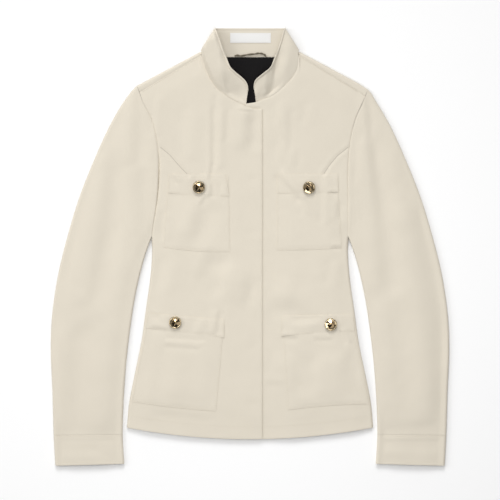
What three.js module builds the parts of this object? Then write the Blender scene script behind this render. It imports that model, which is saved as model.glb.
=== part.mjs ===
// A woman's field jacket with a stand collar, closed and laid flat on its back.
// Millimetres. +X is to the viewer's right, +Y towards the collar, +Z up from the surface.
// The wearer's right side is at -X. "down" is the distance below the collar's top edge.
import * as THREE from "three";
import { mergeVertices } from "three/addons/utils/BufferGeometryUtils.js";

// Driving sizes
const TOTAL_LENGTH = 699.2; // collar's top edge to the cuffs' lower edge
const WALL = 2; // cloth, interlining and lining of the body and sleeves
const SEAM = 0.3; // gap between neighbouring pieces
const FOLD_SEAM = 0.5; // gap between the layers along a fold's crest
const FOLD_RADIUS = 2; // mid-line radius where the back turns over into the front
const RISE = 26; // how far inside a fold the upper layer reaches its full height
const LOFT = 5.7; // mid-line height of the upper layer, above the surface
const NECK_LIFT = 1.2; // the collar holds the fronts up by this much
const NECK_CENTRE = 60; // down
const NECK_REACH = 78;
const NECK_FADE = 60;
const NECK_SEAM = 0.5; // gap along the collar's seam
const ARMHOLE_SEAM = 0.5;
const FRONT_EDGE = 19.2; // each front runs this far past the centre front
const OVERLAP_DROP = WALL + 0.4; // the under front lies this much lower
const OVERLAP_CLEAR = 6; // and rises again from this far outside the over front's edge
const OVERLAP_RAMP = 20;
const HEM_CORNER = 638.4; // down
const HEM_SAG = 18.4; // the hem is lower at the centre front
// The neckline of each front beyond the collar's end, to the top of its front edge
const CORNERS = {
  right: [{ x: 6.4, down: 128.5 }, { x: FRONT_EDGE, down: 129.8 }],
  left: [{ x: -4.8, down: 120.4 }, { x: -FRONT_EDGE, down: 121.4 }],
};
const COLLAR_WALL = 2.4;
const POCKET_WALL = 1;
const POCKET_GAP = 0.45;
const FLAP_WALL = 1.4;
const SIDE_INSET = 3.2; // hip pockets end this far inside the side fold
const LINING_WALL = 1;
const LABEL = { width: 65, height: 16, wall: 1, down: 15.2, x: 0.8 };
const BUTTON_FACETS = 12;
const LOOP_RADIUS = 1;

const CREST = WALL / 2 + FOLD_RADIUS; // height of a fold's crest
const TOP = TOTAL_LENGTH / 2;

// Half width of the body below the underarm
const SIDE = [
  { down: 335.7, half: 157.3 },
  { down: 357.6, half: 156.4 },
  { down: 396, half: 159.2 },
  { down: 447.2, half: 166.4 },
  { down: 498.4, half: 173.6 },
  { down: 549.6, half: 184 },
  { down: 600.8, half: 193.6 },
  { down: HEM_CORNER, half: 196.8 },
];
const UNDERARM = SIDE[0].down;

// The shoulder's fold, from the neck to the sleeve head
const SHOULDER = { x: 79.2, down: 37.6, slope: 0.535, square: 0.88 };
// The shoulder seam lies in front of the fold, further at the sleeve
const WRAP = { neck: 5, tip: 12 };

// Distance of the armhole seam from the centre, on each side, from the shoulder's
// fold to the underarm. "pieces" is how many rows of a front lie before each one.
const ARMHOLE = [
  { down: 92, right: 180.8, left: 191.1 },
  { down: 104, right: 176.4, left: 186.2, pieces: 1 },
  { down: 120, right: 170.5, left: 179.6, pieces: 2 },
  { down: 145, right: 158, left: 168.8, pieces: 3 },
  { down: 178, right: 149.4, left: 160.6, pieces: 4 },
  { down: 215, right: 145.6, left: 157.4, pieces: 3 },
  { down: 269, right: 148.3, left: 157, pieces: 2 },
  { down: 322, right: 156.3, left: 157.2, pieces: 2 },
  { down: UNDERARM, right: 157.3, left: 157.3, pieces: 1 },
];
const TIP = { right: 180.8, left: 188.9 }; // the armhole's start at the shoulder's fold

// The back neckline, with its distance down for each distance from the centre
const BACK_NECK = [
  { x: 0, down: 45.9 },
  { x: 50, down: 45.9 },
  { x: 62, down: 44.8 },
  { x: 70, down: 42.4 },
  { x: 76, down: 40 },
  { x: SHOULDER.x, down: 38.7 },
];

// Sections of a sleeve: the outer edge, the inner edge, and how much the section
// still bends like the armhole
const SLEEVE = [
  { outX: 180.8, outDown: 92, inX: 157.9, inDown: UNDERARM, bend: 1 },
  { outX: 203, outDown: 119.5, inX: 159.6, inDown: 339.5, bend: 0.85 },
  { outX: 224, outDown: 155.5, inX: 162.6, inDown: 348, bend: 0.65 },
  { outX: 246.4, outDown: 204, inX: 168.6, inDown: 366, bend: 0.4 },
  { outX: 272, outDown: 268, inX: 176.6, inDown: 396, bend: 0.2 },
  { outX: 291.6, outDown: 332, inX: 184.6, inDown: 434.4, bend: 0.08 },
  { outX: 307.2, outDown: 396, inX: 191.8, inDown: 482.4, bend: 0 },
  { outX: 316.4, outDown: 460, inX: 197.4, inDown: 530.4, bend: 0 },
  { outX: 318.4, outDown: 515, inX: 200.6, inDown: 570.4, bend: 0 },
  { outX: 316, outDown: 575.2, inX: 202.6, inDown: 607.2, bend: 0 },
  { outX: 313.8, outDown: 650.4, inX: 203.6, inDown: 649.6, bend: 0 },
  { outX: 311.2, outDown: TOTAL_LENGTH, inX: 201, inDown: 696.2, bend: 0 },
];
const CUFF_ROW = SLEEVE.length - 2; // the cuff lies between the last two sections
const SLEEVE_ROWS = [0, 0.5, 1, 1.7, 2.4, 3.1, 3.8, 4.5, 5.2, 5.9, 6.6, 7.3, 8, 8.8, 9.5, CUFF_ROW];

// The collar band from the centre back round to the front end, on each side: its
// seamed base and its top edge, with the mid-line heights z
const COLLAR_BACK = [
  { baseX: 0, baseDown: 45.5, baseZ: 1.2, topX: 0, topDown: 0, topZ: 1.2 },
  { baseX: 30, baseDown: 45.5, baseZ: 1.2, topX: 24, topDown: 0, topZ: 1.2 },
  { baseX: 52, baseDown: 44.9, baseZ: 1.2, topX: 42, topDown: 0, topZ: 1.2 },
  { baseX: 66, baseDown: 41.6, baseZ: 1.2, topX: 50.5, topDown: 0, topZ: 1.2 },
  { baseX: 74.5, baseDown: 37.6, baseZ: 1.9, topX: 54.4, topDown: 0, topZ: 2.2 },
  { baseX: 77.9, baseDown: 35.9, baseZ: 4.9, topX: 55.6, topDown: 0.3, topZ: 6 },
  { baseX: 77.2, baseDown: 36.6, baseZ: 7.9, topX: 55, topDown: 1.4, topZ: 9.6 },
];
const COLLAR_RIGHT = [
  { baseX: 76.8, baseDown: 41.6, baseZ: 8.6, topX: 53.4, topDown: 6, topZ: 11.4 },
  { baseX: 75.6, baseDown: 50, baseZ: 8.2, topX: 49.6, topDown: 17, topZ: 12.8 },
  { baseX: 71.4, baseDown: 63.2, baseZ: 7.5, topX: 43.6, topDown: 34, topZ: 13.6 },
  { baseX: 62.4, baseDown: 82.2, baseZ: 7, topX: 37, topDown: 50, topZ: 13.4 },
  { baseX: 54.7, baseDown: 93.6, baseZ: 7, topX: 31.6, topDown: 62.4, topZ: 12.6 },
  { baseX: 44.5, baseDown: 102.6, baseZ: 7, topX: 23.6, topDown: 70.4, topZ: 11.6 },
  { baseX: 29.2, baseDown: 112.8, baseZ: 7, topX: 14, topDown: 78.2, topZ: 10.6 },
  { baseX: 17.5, baseDown: 118.8, baseZ: 7, topX: 7, topDown: 85.4, topZ: 10 },
  { baseX: 11, baseDown: 121.9, baseZ: 7, topX: 4.3, topDown: 92, topZ: 9.7 },
  { baseX: 6.4, baseDown: 124.6, baseZ: 7, topX: 3.6, topDown: 99, topZ: 9.4 },
];
const COLLAR_LEFT = [
  { baseX: 76.9, baseDown: 41.6, baseZ: 8.6, topX: 53.4, topDown: 6, topZ: 11.4 },
  { baseX: 77, baseDown: 50, baseZ: 8.2, topX: 50, topDown: 17.6, topZ: 12.8 },
  { baseX: 75, baseDown: 64, baseZ: 7.5, topX: 45, topDown: 33, topZ: 13.6 },
  { baseX: 67.4, baseDown: 78.2, baseZ: 7, topX: 38.6, topDown: 50, topZ: 13.4 },
  { baseX: 57.2, baseDown: 89.6, baseZ: 7, topX: 32.4, topDown: 62.6, topZ: 12.6 },
  { baseX: 47, baseDown: 98.6, baseZ: 7, topX: 24.4, topDown: 69.8, topZ: 11.6 },
  { baseX: 35.4, baseDown: 107.4, baseZ: 6.2, topX: 15.6, topDown: 77, topZ: 10.6 },
  { baseX: 24, baseDown: 111.9, baseZ: 4.9, topX: 9.6, topDown: 82.4, topZ: 9.6 },
  { baseX: 16, baseDown: 114.6, baseZ: 4.7, topX: 7.2, topDown: 88.6, topZ: 9 },
  { baseX: 9.4, baseDown: 117.6, baseZ: 4.7, topX: 6.9, topDown: 96, topZ: 8.4 },
];

// Soft ridges (height above 0) and troughs of the upper layer, from one point to
// another; "spread" is the half width where they fade out
const FOLDS = [
  { on: "right sleeve", x1: -222, down1: 190, x2: -262, down2: 560, spread: 22, height: -0.8 },
  { on: "right sleeve", x1: -186, down1: 230, x2: -224, down2: 560, spread: 24, height: 0.4 },
  { on: "left sleeve", x1: 189, down1: 128, x2: 192, down2: 215, spread: 12, height: -0.7 },
  { on: "left sleeve", x1: 244, down1: 210, x2: 262, down2: 470, spread: 30, height: 0.5 },
  { on: "left sleeve", x1: 284, down1: 440, x2: 282, down2: 640, spread: 26, height: -0.6 },
  { on: "right front", x1: -52, down1: 130, x2: -66, down2: 235, spread: 14, height: 0.5 },
  { on: "right front", x1: -70, down1: 375, x2: -20, down2: 430, spread: 40, height: 0.4 },
  { on: "left front", x1: 40, down1: 425, x2: 92, down2: 450, spread: 26, height: -0.6 },
];

// Patch pockets and flaps, by the ends of their inner edge, near the centre front,
// and of their outer edge. An outer edge with no x runs along the side fold. "sag"
// lowers the middle of the lower edge.
const PATCHES = {
  chest_pocket_right: {
    inner: [{ x: -34.4, down: 236 }, { x: -32, down: 356.8 }],
    outer: [{ x: -130.4, down: 236 }, { x: -138.9, down: 349.6 }],
    sag: 3,
  },
  chest_pocket_left: {
    inner: [{ x: 43.2, down: 236 }, { x: 42.7, down: 354.4 }],
    outer: [{ x: 139.2, down: 236 }, { x: 146.6, down: 351 }],
    sag: 1.2,
  },
  chest_flap_right: {
    inner: [{ x: -39.2, down: 232.8 }, { x: -33.3, down: 268 }],
    outer: [{ x: -130.4, down: 232.8 }, { x: -130.7, down: 263.2 }],
    sag: 1.6,
  },
  chest_flap_left: {
    inner: [{ x: 44, down: 232.8 }, { x: 43.5, down: 263.2 }],
    outer: [{ x: 140, down: 232.8 }, { x: 141.1, down: 261.3 }],
    sag: 2.2,
  },
  hip_pocket_right: {
    inner: [{ x: -41.6, down: 468 }, { x: -54.4, down: 612 }],
    outer: [{ down: 460 }, { down: 596.8 }],
    sag: 1.6,
  },
  hip_pocket_left: {
    inner: [{ x: 51.2, down: 461 }, { x: 60.2, down: 610.2 }],
    outer: [{ down: 458.4 }, { down: 600.6 }],
    sag: -2,
  },
  hip_flap_right: {
    inner: [{ x: -41.6, down: 465.8 }, { x: -41.6, down: 494.4 }],
    outer: [{ down: 455.2 }, { down: 479.2 }],
    sag: -1,
  },
  hip_flap_left: {
    inner: [{ x: 50.9, down: 459.2 }, { x: 50.4, down: 492.3 }],
    outer: [{ down: 456.8 }, { down: 483.4 }],
    sag: -1.6,
  },
};
const BUTTONS = [
  { name: "button_chest_right", x: -81.8, down: 254.2, side: "right" },
  { name: "button_chest_left", x: 94.2, down: 254.9, side: "left" },
  { name: "button_hip_right", x: -119.5, down: 470.2, side: "right" },
  { name: "button_hip_left", x: 129, down: 473.4, side: "left" },
];
// Half section of a button: its shank, its rolled rim and its dome
const BUTTON_PROFILE = [
  { r: 0, z: 0 },
  { r: 2.6, z: 0 },
  { r: 2.6, z: 1.2 },
  { r: 8.6, z: 1.6 },
  { r: 10, z: 2.8 },
  { r: 9.2, z: 4.6 },
  { r: 6.4, z: 6.4 },
  { r: 2.8, z: 7.2 },
  { r: 0, z: 7.3 },
];
// The hanger loop along the back neck seam
const LOOP = [
  { x: -24.5, down: 44, z: 3.75 },
  { x: -14, down: 43.4, z: 3.9 },
  { x: -4, down: 41.8, z: 4.2 },
  { x: 8, down: 40.6, z: 4.4 },
  { x: 16, down: 38.8, z: 4.4 },
  { x: 22, down: 40.2, z: 4 },
  { x: 25.5, down: 44, z: 3.75 },
];

// Grid lines near a fold lie at these distances from it
const NEAR_FOLD = [0, 0.59, 2, 12];
// The under front has a grid line at least this far from its edge, where it rises
const RISE_LINE = 12;
// Grid lines of the back, across; the neck point lies between the last two wide ones
const BACK_COLUMNS = [125, 102, 80, 73, 55, 28];
const SIDE_STEPS = 12; // rows down the side
const UNDERARM_CURVE = 12; // above the underarm, the armhole seam turns into the side fold

const { lerp, clamp } = THREE.MathUtils;
const smooth = (t) => THREE.MathUtils.smoothstep(t, 0, 1);
const range = (count) => Array.from({ length: count }, (_, i) => i);
const SIGN = { right: -1, left: 1 };

// The value of one column of a table at a given key, on a smooth curve through its rows
function read(table, key, at, column) {
  const last = table.length - 2;
  let i = table.findIndex((row) => row[key] > at) - 1;
  if (i < 0) i = at < table[0][key] ? 0 : last;
  const row = (k) => table[clamp(k, 0, table.length - 1)];
  const [a, b] = [row(i), row(i + 1)];
  const span = b[key] - a[key];
  const t = clamp((at - a[key]) / span, 0, 1);
  const slopeAt = (k) => {
    const [p, q] = [row(k - 1), row(k + 1)];
    return ((q[column] - p[column]) / (q[key] - p[key])) * span;
  };
  const [m, n] = [slopeAt(i), slopeAt(i + 1)];
  const [t2, t3] = [t * t, t * t * t];
  return (2 * t3 - 3 * t2 + 1) * a[column] + (t3 - 2 * t2 + t) * m
    + (3 * t2 - 2 * t3) * b[column] + (t3 - t2) * n;
}

// Height of a fold's round edge at a distance from its crest
function roundEdge(distance) {
  const near = clamp(distance, 0, FOLD_RADIUS) / FOLD_RADIUS;
  return FOLD_RADIUS * Math.sqrt(1 - (1 - near) ** 2);
}

const sideHalf = (down) => read(SIDE, "down", Math.max(down, UNDERARM), "half") - WALL / 2;
const foldDown = (x) => SHOULDER.down + (Math.abs(x) - SHOULDER.x) * SHOULDER.slope
  + WALL / 2 / SHOULDER.square;
const wrapAt = (x) => lerp(WRAP.neck, WRAP.tip, Math.max(0, (Math.abs(x) - SHOULDER.x) / 100));

// The armhole seam is straight between the rows of its table
function armholeX(down, side) {
  const next = clamp(ARMHOLE.findIndex((r) => r.down > down), 1, ARMHOLE.length - 1);
  const [a, b] = [ARMHOLE[next - 1], ARMHOLE[next]];
  return lerp(a[side], b[side], (down - a.down) / (b.down - a.down));
}

// Distance from a point of the body to the nearest fold, at the side or the shoulder
function bodyFold(x, down) {
  const across = sideHalf(down) - Math.abs(x);
  const toSide = down >= UNDERARM ? across : Math.hypot(across, UNDERARM - down);
  const toShoulder = (down - foldDown(x)) * SHOULDER.square;
  const nearNeck = Math.abs(x) < SHOULDER.x ? RISE : toShoulder;
  return Math.max(0, Math.min(toSide, nearNeck));
}

function foldsAt(x, down) {
  let height = 0;
  for (const f of FOLDS) {
    const [ax, ad] = [f.x2 - f.x1, f.down2 - f.down1];
    const t = clamp(((x - f.x1) * ax + (down - f.down1) * ad) / (ax * ax + ad * ad), 0, 1);
    const away = Math.hypot(x - f.x1 - t * ax, down - f.down1 - t * ad) / f.spread;
    height += f.height * smooth(1 - away);
  }
  return height;
}

// Mid-line height of the upper layer at a distance from its nearest fold
function upperHeight(distance, x, down) {
  const neck = Math.hypot(x, down - NECK_CENTRE);
  const lift = NECK_LIFT * smooth(1 - (neck - NECK_REACH) / NECK_FADE);
  const full = LOFT + lift + foldsAt(x, down);
  return CREST + FOLD_SEAM / 2 + roundEdge(distance)
    + (full - CREST - FOLD_RADIUS) * smooth(distance / RISE);
}

// Mid-line height of the under layer, flat on the surface but for its folds
function lowerHeight(distance) {
  const edge = roundEdge(distance);
  return CREST - edge - (FOLD_SEAM / 2) * (1 - edge / FOLD_RADIUS);
}

// The fronts' mid-line height; the left one dips below the right one at the overlap
function frontHeight(x, down, side) {
  const height = upperHeight(bodyFold(x, down), x, down);
  if (side === "right") return height;
  return height - OVERLAP_DROP * smooth(1 - (x - FRONT_EDGE - OVERLAP_CLEAR) / OVERLAP_RAMP);
}

const point = (x, down, z) => new THREE.Vector3(x, TOP - down, z);

// A wall of cloth round a mid-surface. place(i, j) gives the mid-surface at grid
// line i across and j along, and also between the lines.
function wall(place, across, along, thickness) {
  const box = new THREE.BoxGeometry(1, 1, 1, across - 1, along - 1, 1);
  box.deleteAttribute("normal");
  box.deleteAttribute("uv");
  const geometry = mergeVertices(box, 1e-5);
  const position = geometry.attributes.position;
  for (let k = 0; k < position.count; k++) {
    const i = Math.round((position.getX(k) + 0.5) * (across - 1));
    const j = Math.round((0.5 - position.getY(k)) * (along - 1));
    const out = Math.sign(position.getZ(k)) * thickness / 2;
    const at = place(i, j).addScaledVector(normalAt(place, i, j, across, along), out);
    position.setXYZ(k, at.x, at.y, at.z);
  }
  return geometry;
}

function normalAt(place, i, j, across, along) {
  const step = 1e-3;
  const over = place(Math.min(i + step, across - 1), j).sub(place(Math.max(i - step, 0), j));
  const length = place(i, Math.max(j - step, 0)).sub(place(i, Math.min(j + step, along - 1)));
  return over.cross(length).normalize();
}

// Distances from the start of a row for its grid lines: a list near the start, even
// in the middle, and a list near the end
function spaced(count, width, nearStart, nearEnd) {
  const from = nearStart[nearStart.length - 1];
  const to = width - nearEnd[nearEnd.length - 1];
  const even = count - nearStart.length - nearEnd.length;
  return [
    ...nearStart,
    ...range(even).map((k) => lerp(from, to, (k + 1) / (even + 1))),
    ...nearEnd.map((d) => width - d).reverse(),
  ];
}

// A value between the entries of a list of numbers
function between(list, k) {
  const whole = clamp(Math.floor(k), 0, list.length - 2);
  return lerp(list[whole], list[whole + 1], k - whole);
}

const sideRows = range(SIDE_STEPS).map((k) => lerp(UNDERARM, HEM_CORNER, (k + 1) / SIDE_STEPS));
const underarmRows = NEAR_FOLD.slice(1, -1).map((d) => UNDERARM - d).reverse();

// Where the shoulder meets the armhole, at a distance below the fold
function shoulderEnd(side, below) {
  let x = TIP[side];
  for (let pass = 0; pass < 3; pass++) x = armholeX(foldDown(x) + below, side) - ARMHOLE_SEAM;
  return { x, down: foldDown(x) + below };
}

// How near a row is to the underarm: 0 above the curve, 1 at the underarm
const nearUnderarm = (down) => smooth(1 - (UNDERARM - down) / UNDERARM_CURVE);

// The outer edge of a body panel at a distance down: the armhole, then the side fold
function bodyEdge(down, side) {
  if (down >= UNDERARM) return sideHalf(down);
  return lerp(armholeX(down, side) - ARMHOLE_SEAM, sideHalf(UNDERARM), nearUnderarm(down));
}

const hemDrop = (x, half) => HEM_SAG * (1 - (x / half) ** 2);

// The neckline of a front, next to the collar's seamed base, then its front corner
function neckline(side) {
  const table = side === "right" ? COLLAR_RIGHT : COLLAR_LEFT;
  const sign = SIGN[side];
  const points = table.slice(1).map((r) => {
    const out = new THREE.Vector2(r.baseX - r.topX, r.baseDown - r.topDown).setLength(NECK_SEAM);
    return point(sign * (r.baseX + out.x), r.baseDown + out.y, 0);
  });
  const neckX = SHOULDER.x - 0.4;
  const start = point(sign * neckX, foldDown(neckX) + wrapAt(neckX) + SEAM / SHOULDER.square, 0);
  const corner = CORNERS[side].map((r) => point(r.x, r.down, 0));
  return new THREE.CatmullRomCurve3([start, ...points, ...corner], false, "centripetal");
}

// One front: its rows run from the neckline or the front edge out to the armhole
// or the side
function frontPanel(side) {
  const sign = SIGN[side];
  const neck = neckline(side);
  const corner = CORNERS[side][CORNERS[side].length - 1];
  const shoulder = shoulderEnd(side, wrapAt(TIP[side]) + SEAM / SHOULDER.square);
  const downs = [shoulder.down, ...ARMHOLE.slice(2).map((r) => r.down)];
  const armRows = ARMHOLE.slice(2).flatMap((r, k) => range(r.pieces)
    .map((n) => lerp(downs[k], downs[k + 1], (n + 1) / r.pieces)));
  const outer = [shoulder.down, ...armRows.slice(0, -1), ...underarmRows, UNDERARM, ...sideRows];
  const last = outer.length - 1;
  const neckRows = neck.points.length - 1;
  const columns = 12;
  const place = (i, j) => {
    const outerDown = between(outer, j);
    const outerX = sign * bodyEdge(outerDown, side);
    const below = clamp((j - neckRows) / (last - neckRows), 0, 1);
    const start = neck.getPoint(clamp(j / neckRows, 0, 1));
    const width = Math.abs(outerX - start.x);
    const rise = Math.max(FRONT_EDGE + OVERLAP_CLEAR - start.x, RISE_LINE);
    const nearEdge = side === "right" ? [0] : [0, rise, rise + OVERLAP_RAMP];
    const u = between(spaced(columns, width, nearEdge, NEAR_FOLD), i) / width;
    const x = lerp(start.x, outerX, u);
    const hem = HEM_CORNER + hemDrop(x, outerX);
    const top = lerp(TOP - start.y, outerDown, u);
    const down = j <= neckRows ? top
      : lerp(corner.down, hem, below) * (1 - u) + (outerDown + (hem - HEM_CORNER) * below) * u;
    return point(x, down, frontHeight(x, down, side));
  };
  const facing = side === "right" ? (i, j) => place(columns - 1 - i, j) : place;
  return wall(facing, columns, outer.length, WALL);
}

// The back: it turns over the shoulders' folds to the shoulder seams in front
function backPanel() {
  const below = NEAR_FOLD.slice(1).map((d) => d / SHOULDER.square);
  const above = (x) => [wrapAt(x), wrapAt(x) * 0.6, below[1], below[0], 0];
  const wrapRows = above(0).length;
  const shoulderRows = wrapRows + below.length;
  const neckStep = 0.8; // between rows at the back neck
  const armRows = [...ARMHOLE.slice(2, -1).map((r) => r.down), ...underarmRows, UNDERARM];
  const rows = shoulderRows + armRows.length + sideRows.length;
  const fold = NEAR_FOLD.length - 1;

  // Distances across of one row's grid lines, from the right edge to the left one
  const lines = (j) => {
    const edge = (side) => {
      if (j < shoulderRows) return shoulderEnd(side, [...above(ARMHOLE[0][side]), ...below][j]).x;
      return bodyEdge([...armRows, ...sideRows][j - shoulderRows], side);
    };
    const half = (side) => [...NEAR_FOLD.map((d) => edge(side) - d), ...BACK_COLUMNS];
    return [...half("right").map((x) => -x), 0, ...half("left").reverse()];
  };
  // A point of the rows across the shoulders and the back neck
  const shoulderPoint = (i, j) => {
    const x = lines(j)[i];
    if (Math.abs(x) < SHOULDER.x) {
      return point(x, read(BACK_NECK, "x", Math.abs(x), "down") + j * neckStep, lowerHeight(RISE));
    }
    const down = foldDown(x) + [...above(x), ...below][j];
    const distance = (down - foldDown(x)) * SHOULDER.square;
    return point(x, down, j < wrapRows ? upperHeight(distance, x, down) : lowerHeight(distance));
  };
  const vertex = (i, j) => {
    if (j < shoulderRows) return shoulderPoint(i, j);
    const x = lines(j)[i];
    const step = j - shoulderRows;
    const sideStep = step - armRows.length;
    const start = shoulderEnd(x < 0 ? "right" : "left", below[below.length - 1]).down;
    const down = sideStep < 0
      ? lerp(TOP - shoulderPoint(i, shoulderRows - 1).y, UNDERARM, (armRows[step] - start) / (UNDERARM - start))
      : sideRows[sideStep] + hemDrop(x, sideHalf(HEM_CORNER)) * ((sideStep + 1) / SIDE_STEPS);
    return point(x, down, lowerHeight(Math.abs(x) < BACK_COLUMNS[0] ? RISE : bodyFold(x, down)));
  };
  const columns = 2 * (fold + 1 + BACK_COLUMNS.length) + 1;
  const grid = range(rows).map((j) => range(columns).map((i) => vertex(i, j)));
  const place = (i, j) => {
    const [a, b] = [clamp(Math.floor(i), 0, columns - 2), clamp(Math.floor(j), 0, rows - 2)];
    const upper = grid[b][a].clone().lerp(grid[b][a + 1], i - a);
    const lower = grid[b + 1][a].clone().lerp(grid[b + 1][a + 1], i - a);
    return upper.lerp(lower, j - b);
  };
  return wall(place, columns, rows, WALL);
}

// A point of a sleeve's plan: row counts along its sections, and q goes across from
// the outer edge
function sleevePlan(side) {
  const sign = SIGN[side];
  const inset = WALL / 2;
  const tip = { x: armholeX(foldDown(TIP[side]), side), down: foldDown(TIP[side]) };
  const outer = new THREE.CatmullRomCurve3([
    new THREE.Vector3(tip.x, tip.down, 0),
    ...SLEEVE.slice(1).map((r) => new THREE.Vector3(r.outX - inset, r.outDown, 0)),
  ]);
  const inner = new THREE.CatmullRomCurve3(SLEEVE.map((r) => new THREE.Vector3(r.inX + inset, r.inDown, 0)));
  const bends = SLEEVE.map((r) => r.bend);
  return (row, q) => {
    const t = clamp(row / (SLEEVE.length - 1), 0, 1);
    const [a, b] = [outer.getPoint(t), inner.getPoint(t)];
    const at = a.clone().lerp(b, q);
    const down = lerp(tip.down, UNDERARM, q);
    const onArmhole = lerp(armholeX(down, side), inner.points[0].x, nearUnderarm(down));
    at.x += (onArmhole - lerp(tip.x, inner.points[0].x, q)) * between(bends, row);
    return { x: sign * at.x, down: at.y, width: a.distanceTo(b) };
  };
}

// How far across a sleeve its grid lines lie, from the outer edge: at the rows of
// the armhole's table, and close together near the folds
function sleeveColumns(side) {
  const top = foldDown(TIP[side]);
  const length = UNDERARM - top;
  const middle = ARMHOLE.slice(1, -1).map((r) => (r.down - top) / length);
  const near = NEAR_FOLD.slice(0, -1);
  return (i, width) => {
    const start = near.map((d) => d / width);
    return between([...start, ...middle, ...start.map((q) => 1 - q).reverse()], i);
  };
}

// The top sleeve (upper) or the under sleeve of one side
function sleevePanel(side, upper) {
  const plan = sleevePlan(side);
  const across = sleeveColumns(side);
  const columns = ARMHOLE.length - 2 + 2 * (NEAR_FOLD.length - 1);
  const place = (i, j) => {
    const row = between(SLEEVE_ROWS, j);
    const width = plan(row, 0).width;
    const q = across(i, width);
    const { x, down } = plan(row, q);
    const distance = Math.min(q, 1 - q) * width;
    return point(x, down, upper ? upperHeight(distance, x, down) : lowerHeight(distance));
  };
  const facing = side === "right" ? place : (i, j) => place(columns - 1 - i, j);
  return wall(facing, columns, SLEEVE_ROWS.length, WALL);
}

// A cuff: one flattened tube, from the sleeve's end to its lower edge
function cuffBand(side) {
  const plan = sleevePlan(side);
  const perLayer = 12;
  const around = 2 * (perLayer - 1);
  const steps = 3;
  const lengths = range(steps + 1).map((k) => k / steps);
  const profile = [
    ...lengths.map((t) => new THREE.Vector2(2, t)),
    ...lengths.map((t) => new THREE.Vector2(1, 1 - t)),
    new THREE.Vector2(2, 0),
  ];
  const lathe = new THREE.LatheGeometry(profile, around);
  lathe.deleteAttribute("normal");
  lathe.deleteAttribute("uv");
  const geometry = mergeVertices(lathe, 1e-5);
  const position = geometry.attributes.position;
  const place = (turn, t) => {
    const wrapped = ((turn % around) + around) % around;
    const upper = wrapped > perLayer - 1;
    const i = upper ? around - wrapped : wrapped;
    const row = CUFF_ROW + lerp(SEAM / 50, 1, t);
    const width = plan(row, 0).width;
    const from = between(spaced(perLayer, width, NEAR_FOLD, NEAR_FOLD), i);
    const { x, down } = plan(row, from / width);
    const distance = Math.min(from, width - from);
    const edge = roundEdge(distance);
    const z = upper ? upperHeight(distance, x, down) - (FOLD_SEAM / 2) * (1 - edge / FOLD_RADIUS)
      : CREST - edge;
    return point(x, down, z);
  };
  const mirror = side === "right" ? 1 : -1;
  for (let k = 0; k < position.count; k++) {
    const [x, t, z] = [position.getX(k), position.getY(k), position.getZ(k)];
    const out = Math.hypot(x, z) > 1.5 ? 1 : -1;
    const turn = mirror * Math.round((Math.atan2(x, z) / (2 * Math.PI)) * around);
    const step = 1e-3;
    const over = place(turn + step, t).sub(place(turn - step, t));
    const length = place(turn, Math.min(t + step, 1)).sub(place(turn, Math.max(t - step, 0)));
    const normal = over.cross(length).normalize().multiplyScalar(mirror);
    const at = place(turn, t).addScaledVector(normal, (out * WALL) / 2);
    position.setXYZ(k, at.x, at.y, at.z);
  }
  return geometry;
}

// The stand collar: one band round the neck, folded flat at both sides
function collarBand() {
  const stations = [
    ...[...COLLAR_BACK.slice(1), ...COLLAR_LEFT].reverse().map((r) => ({ ...r, sign: 1 })),
    ...[...COLLAR_BACK, ...COLLAR_RIGHT].map((r) => ({ ...r, sign: -1 })),
  ];
  const base = new THREE.CatmullRomCurve3(
    stations.map((r) => point(r.sign * r.baseX, r.baseDown, r.baseZ)), false, "centripetal");
  const top = new THREE.CatmullRomCurve3(
    stations.map((r) => point(r.sign * r.topX, r.topDown, r.topZ)), false, "centripetal");
  const count = stations.length;
  const rows = 6;
  const crown = 1.6; // the collar's front bulges by this much
  const place = (i, j) => {
    const t = clamp(i / (count - 1), 0, 1);
    const s = j / (rows - 1);
    const [a, b] = [base.getPoint(t), top.getPoint(t)];
    const at = a.clone().lerp(b, s);
    const inFront = smooth((a.z - CREST) / 4);
    at.z += crown * inFront * Math.sin(Math.PI * s) ** 2;
    return at;
  };
  return wall(place, count, rows, COLLAR_WALL);
}

const POCKET_ABOVE = WALL / 2 + POCKET_GAP + POCKET_WALL / 2;
const FLAP_ABOVE = POCKET_ABOVE + POCKET_WALL / 2 + SEAM + FLAP_WALL / 2;

// A pocket or flap: a patch moved out from its front, "above" its mid-surface
function patch(name, side, above, thickness, rows) {
  const columns = 8;
  const { inner, outer, sag } = PATCHES[name];
  const outerX = (k, down) => outer[k].x ?? SIGN[side] * (sideHalf(down) - SIDE_INSET);
  const place = (i, j) => {
    const v = j / (rows - 1);
    const across = side === "right" ? 1 - i / (columns - 1) : i / (columns - 1);
    const outerDown = lerp(outer[0].down, outer[1].down, v);
    const edgeX = lerp(outerX(0, outerDown), outerX(1, outerDown), v);
    const x = lerp(lerp(inner[0].x, inner[1].x, v), edgeX, across);
    const down = lerp(lerp(inner[0].down, inner[1].down, v), outerDown, across)
      + sag * 4 * across * (1 - across) * v;
    return point(x, down, frontHeight(x, down, side) + above);
  };
  return wall(place, columns, rows, thickness);
}

// The black lining where the open neck shows it, flat on the back
function liningPatch() {
  const [columns, rows] = [9, 7];
  const top = { half: 44, down: 46.4 };
  const bottom = { half: 15, down: 123 };
  const place = (i, j) => {
    const [u, v] = [i / (columns - 1), j / (rows - 1)];
    const half = lerp(top.half, bottom.half, smooth(v));
    return point(lerp(-half, half, u), lerp(top.down, bottom.down, v), WALL + SEAM + LINING_WALL / 2);
  };
  return wall(place, columns, rows, LINING_WALL);
}

function neckLabel() {
  const z = COLLAR_WALL + SEAM + LABEL.wall / 2;
  const place = (i, j) => point(LABEL.x + (i - 0.5) * LABEL.width, LABEL.down + (j - 0.5) * LABEL.height, z);
  return wall(place, 2, 2, LABEL.wall);
}

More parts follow.
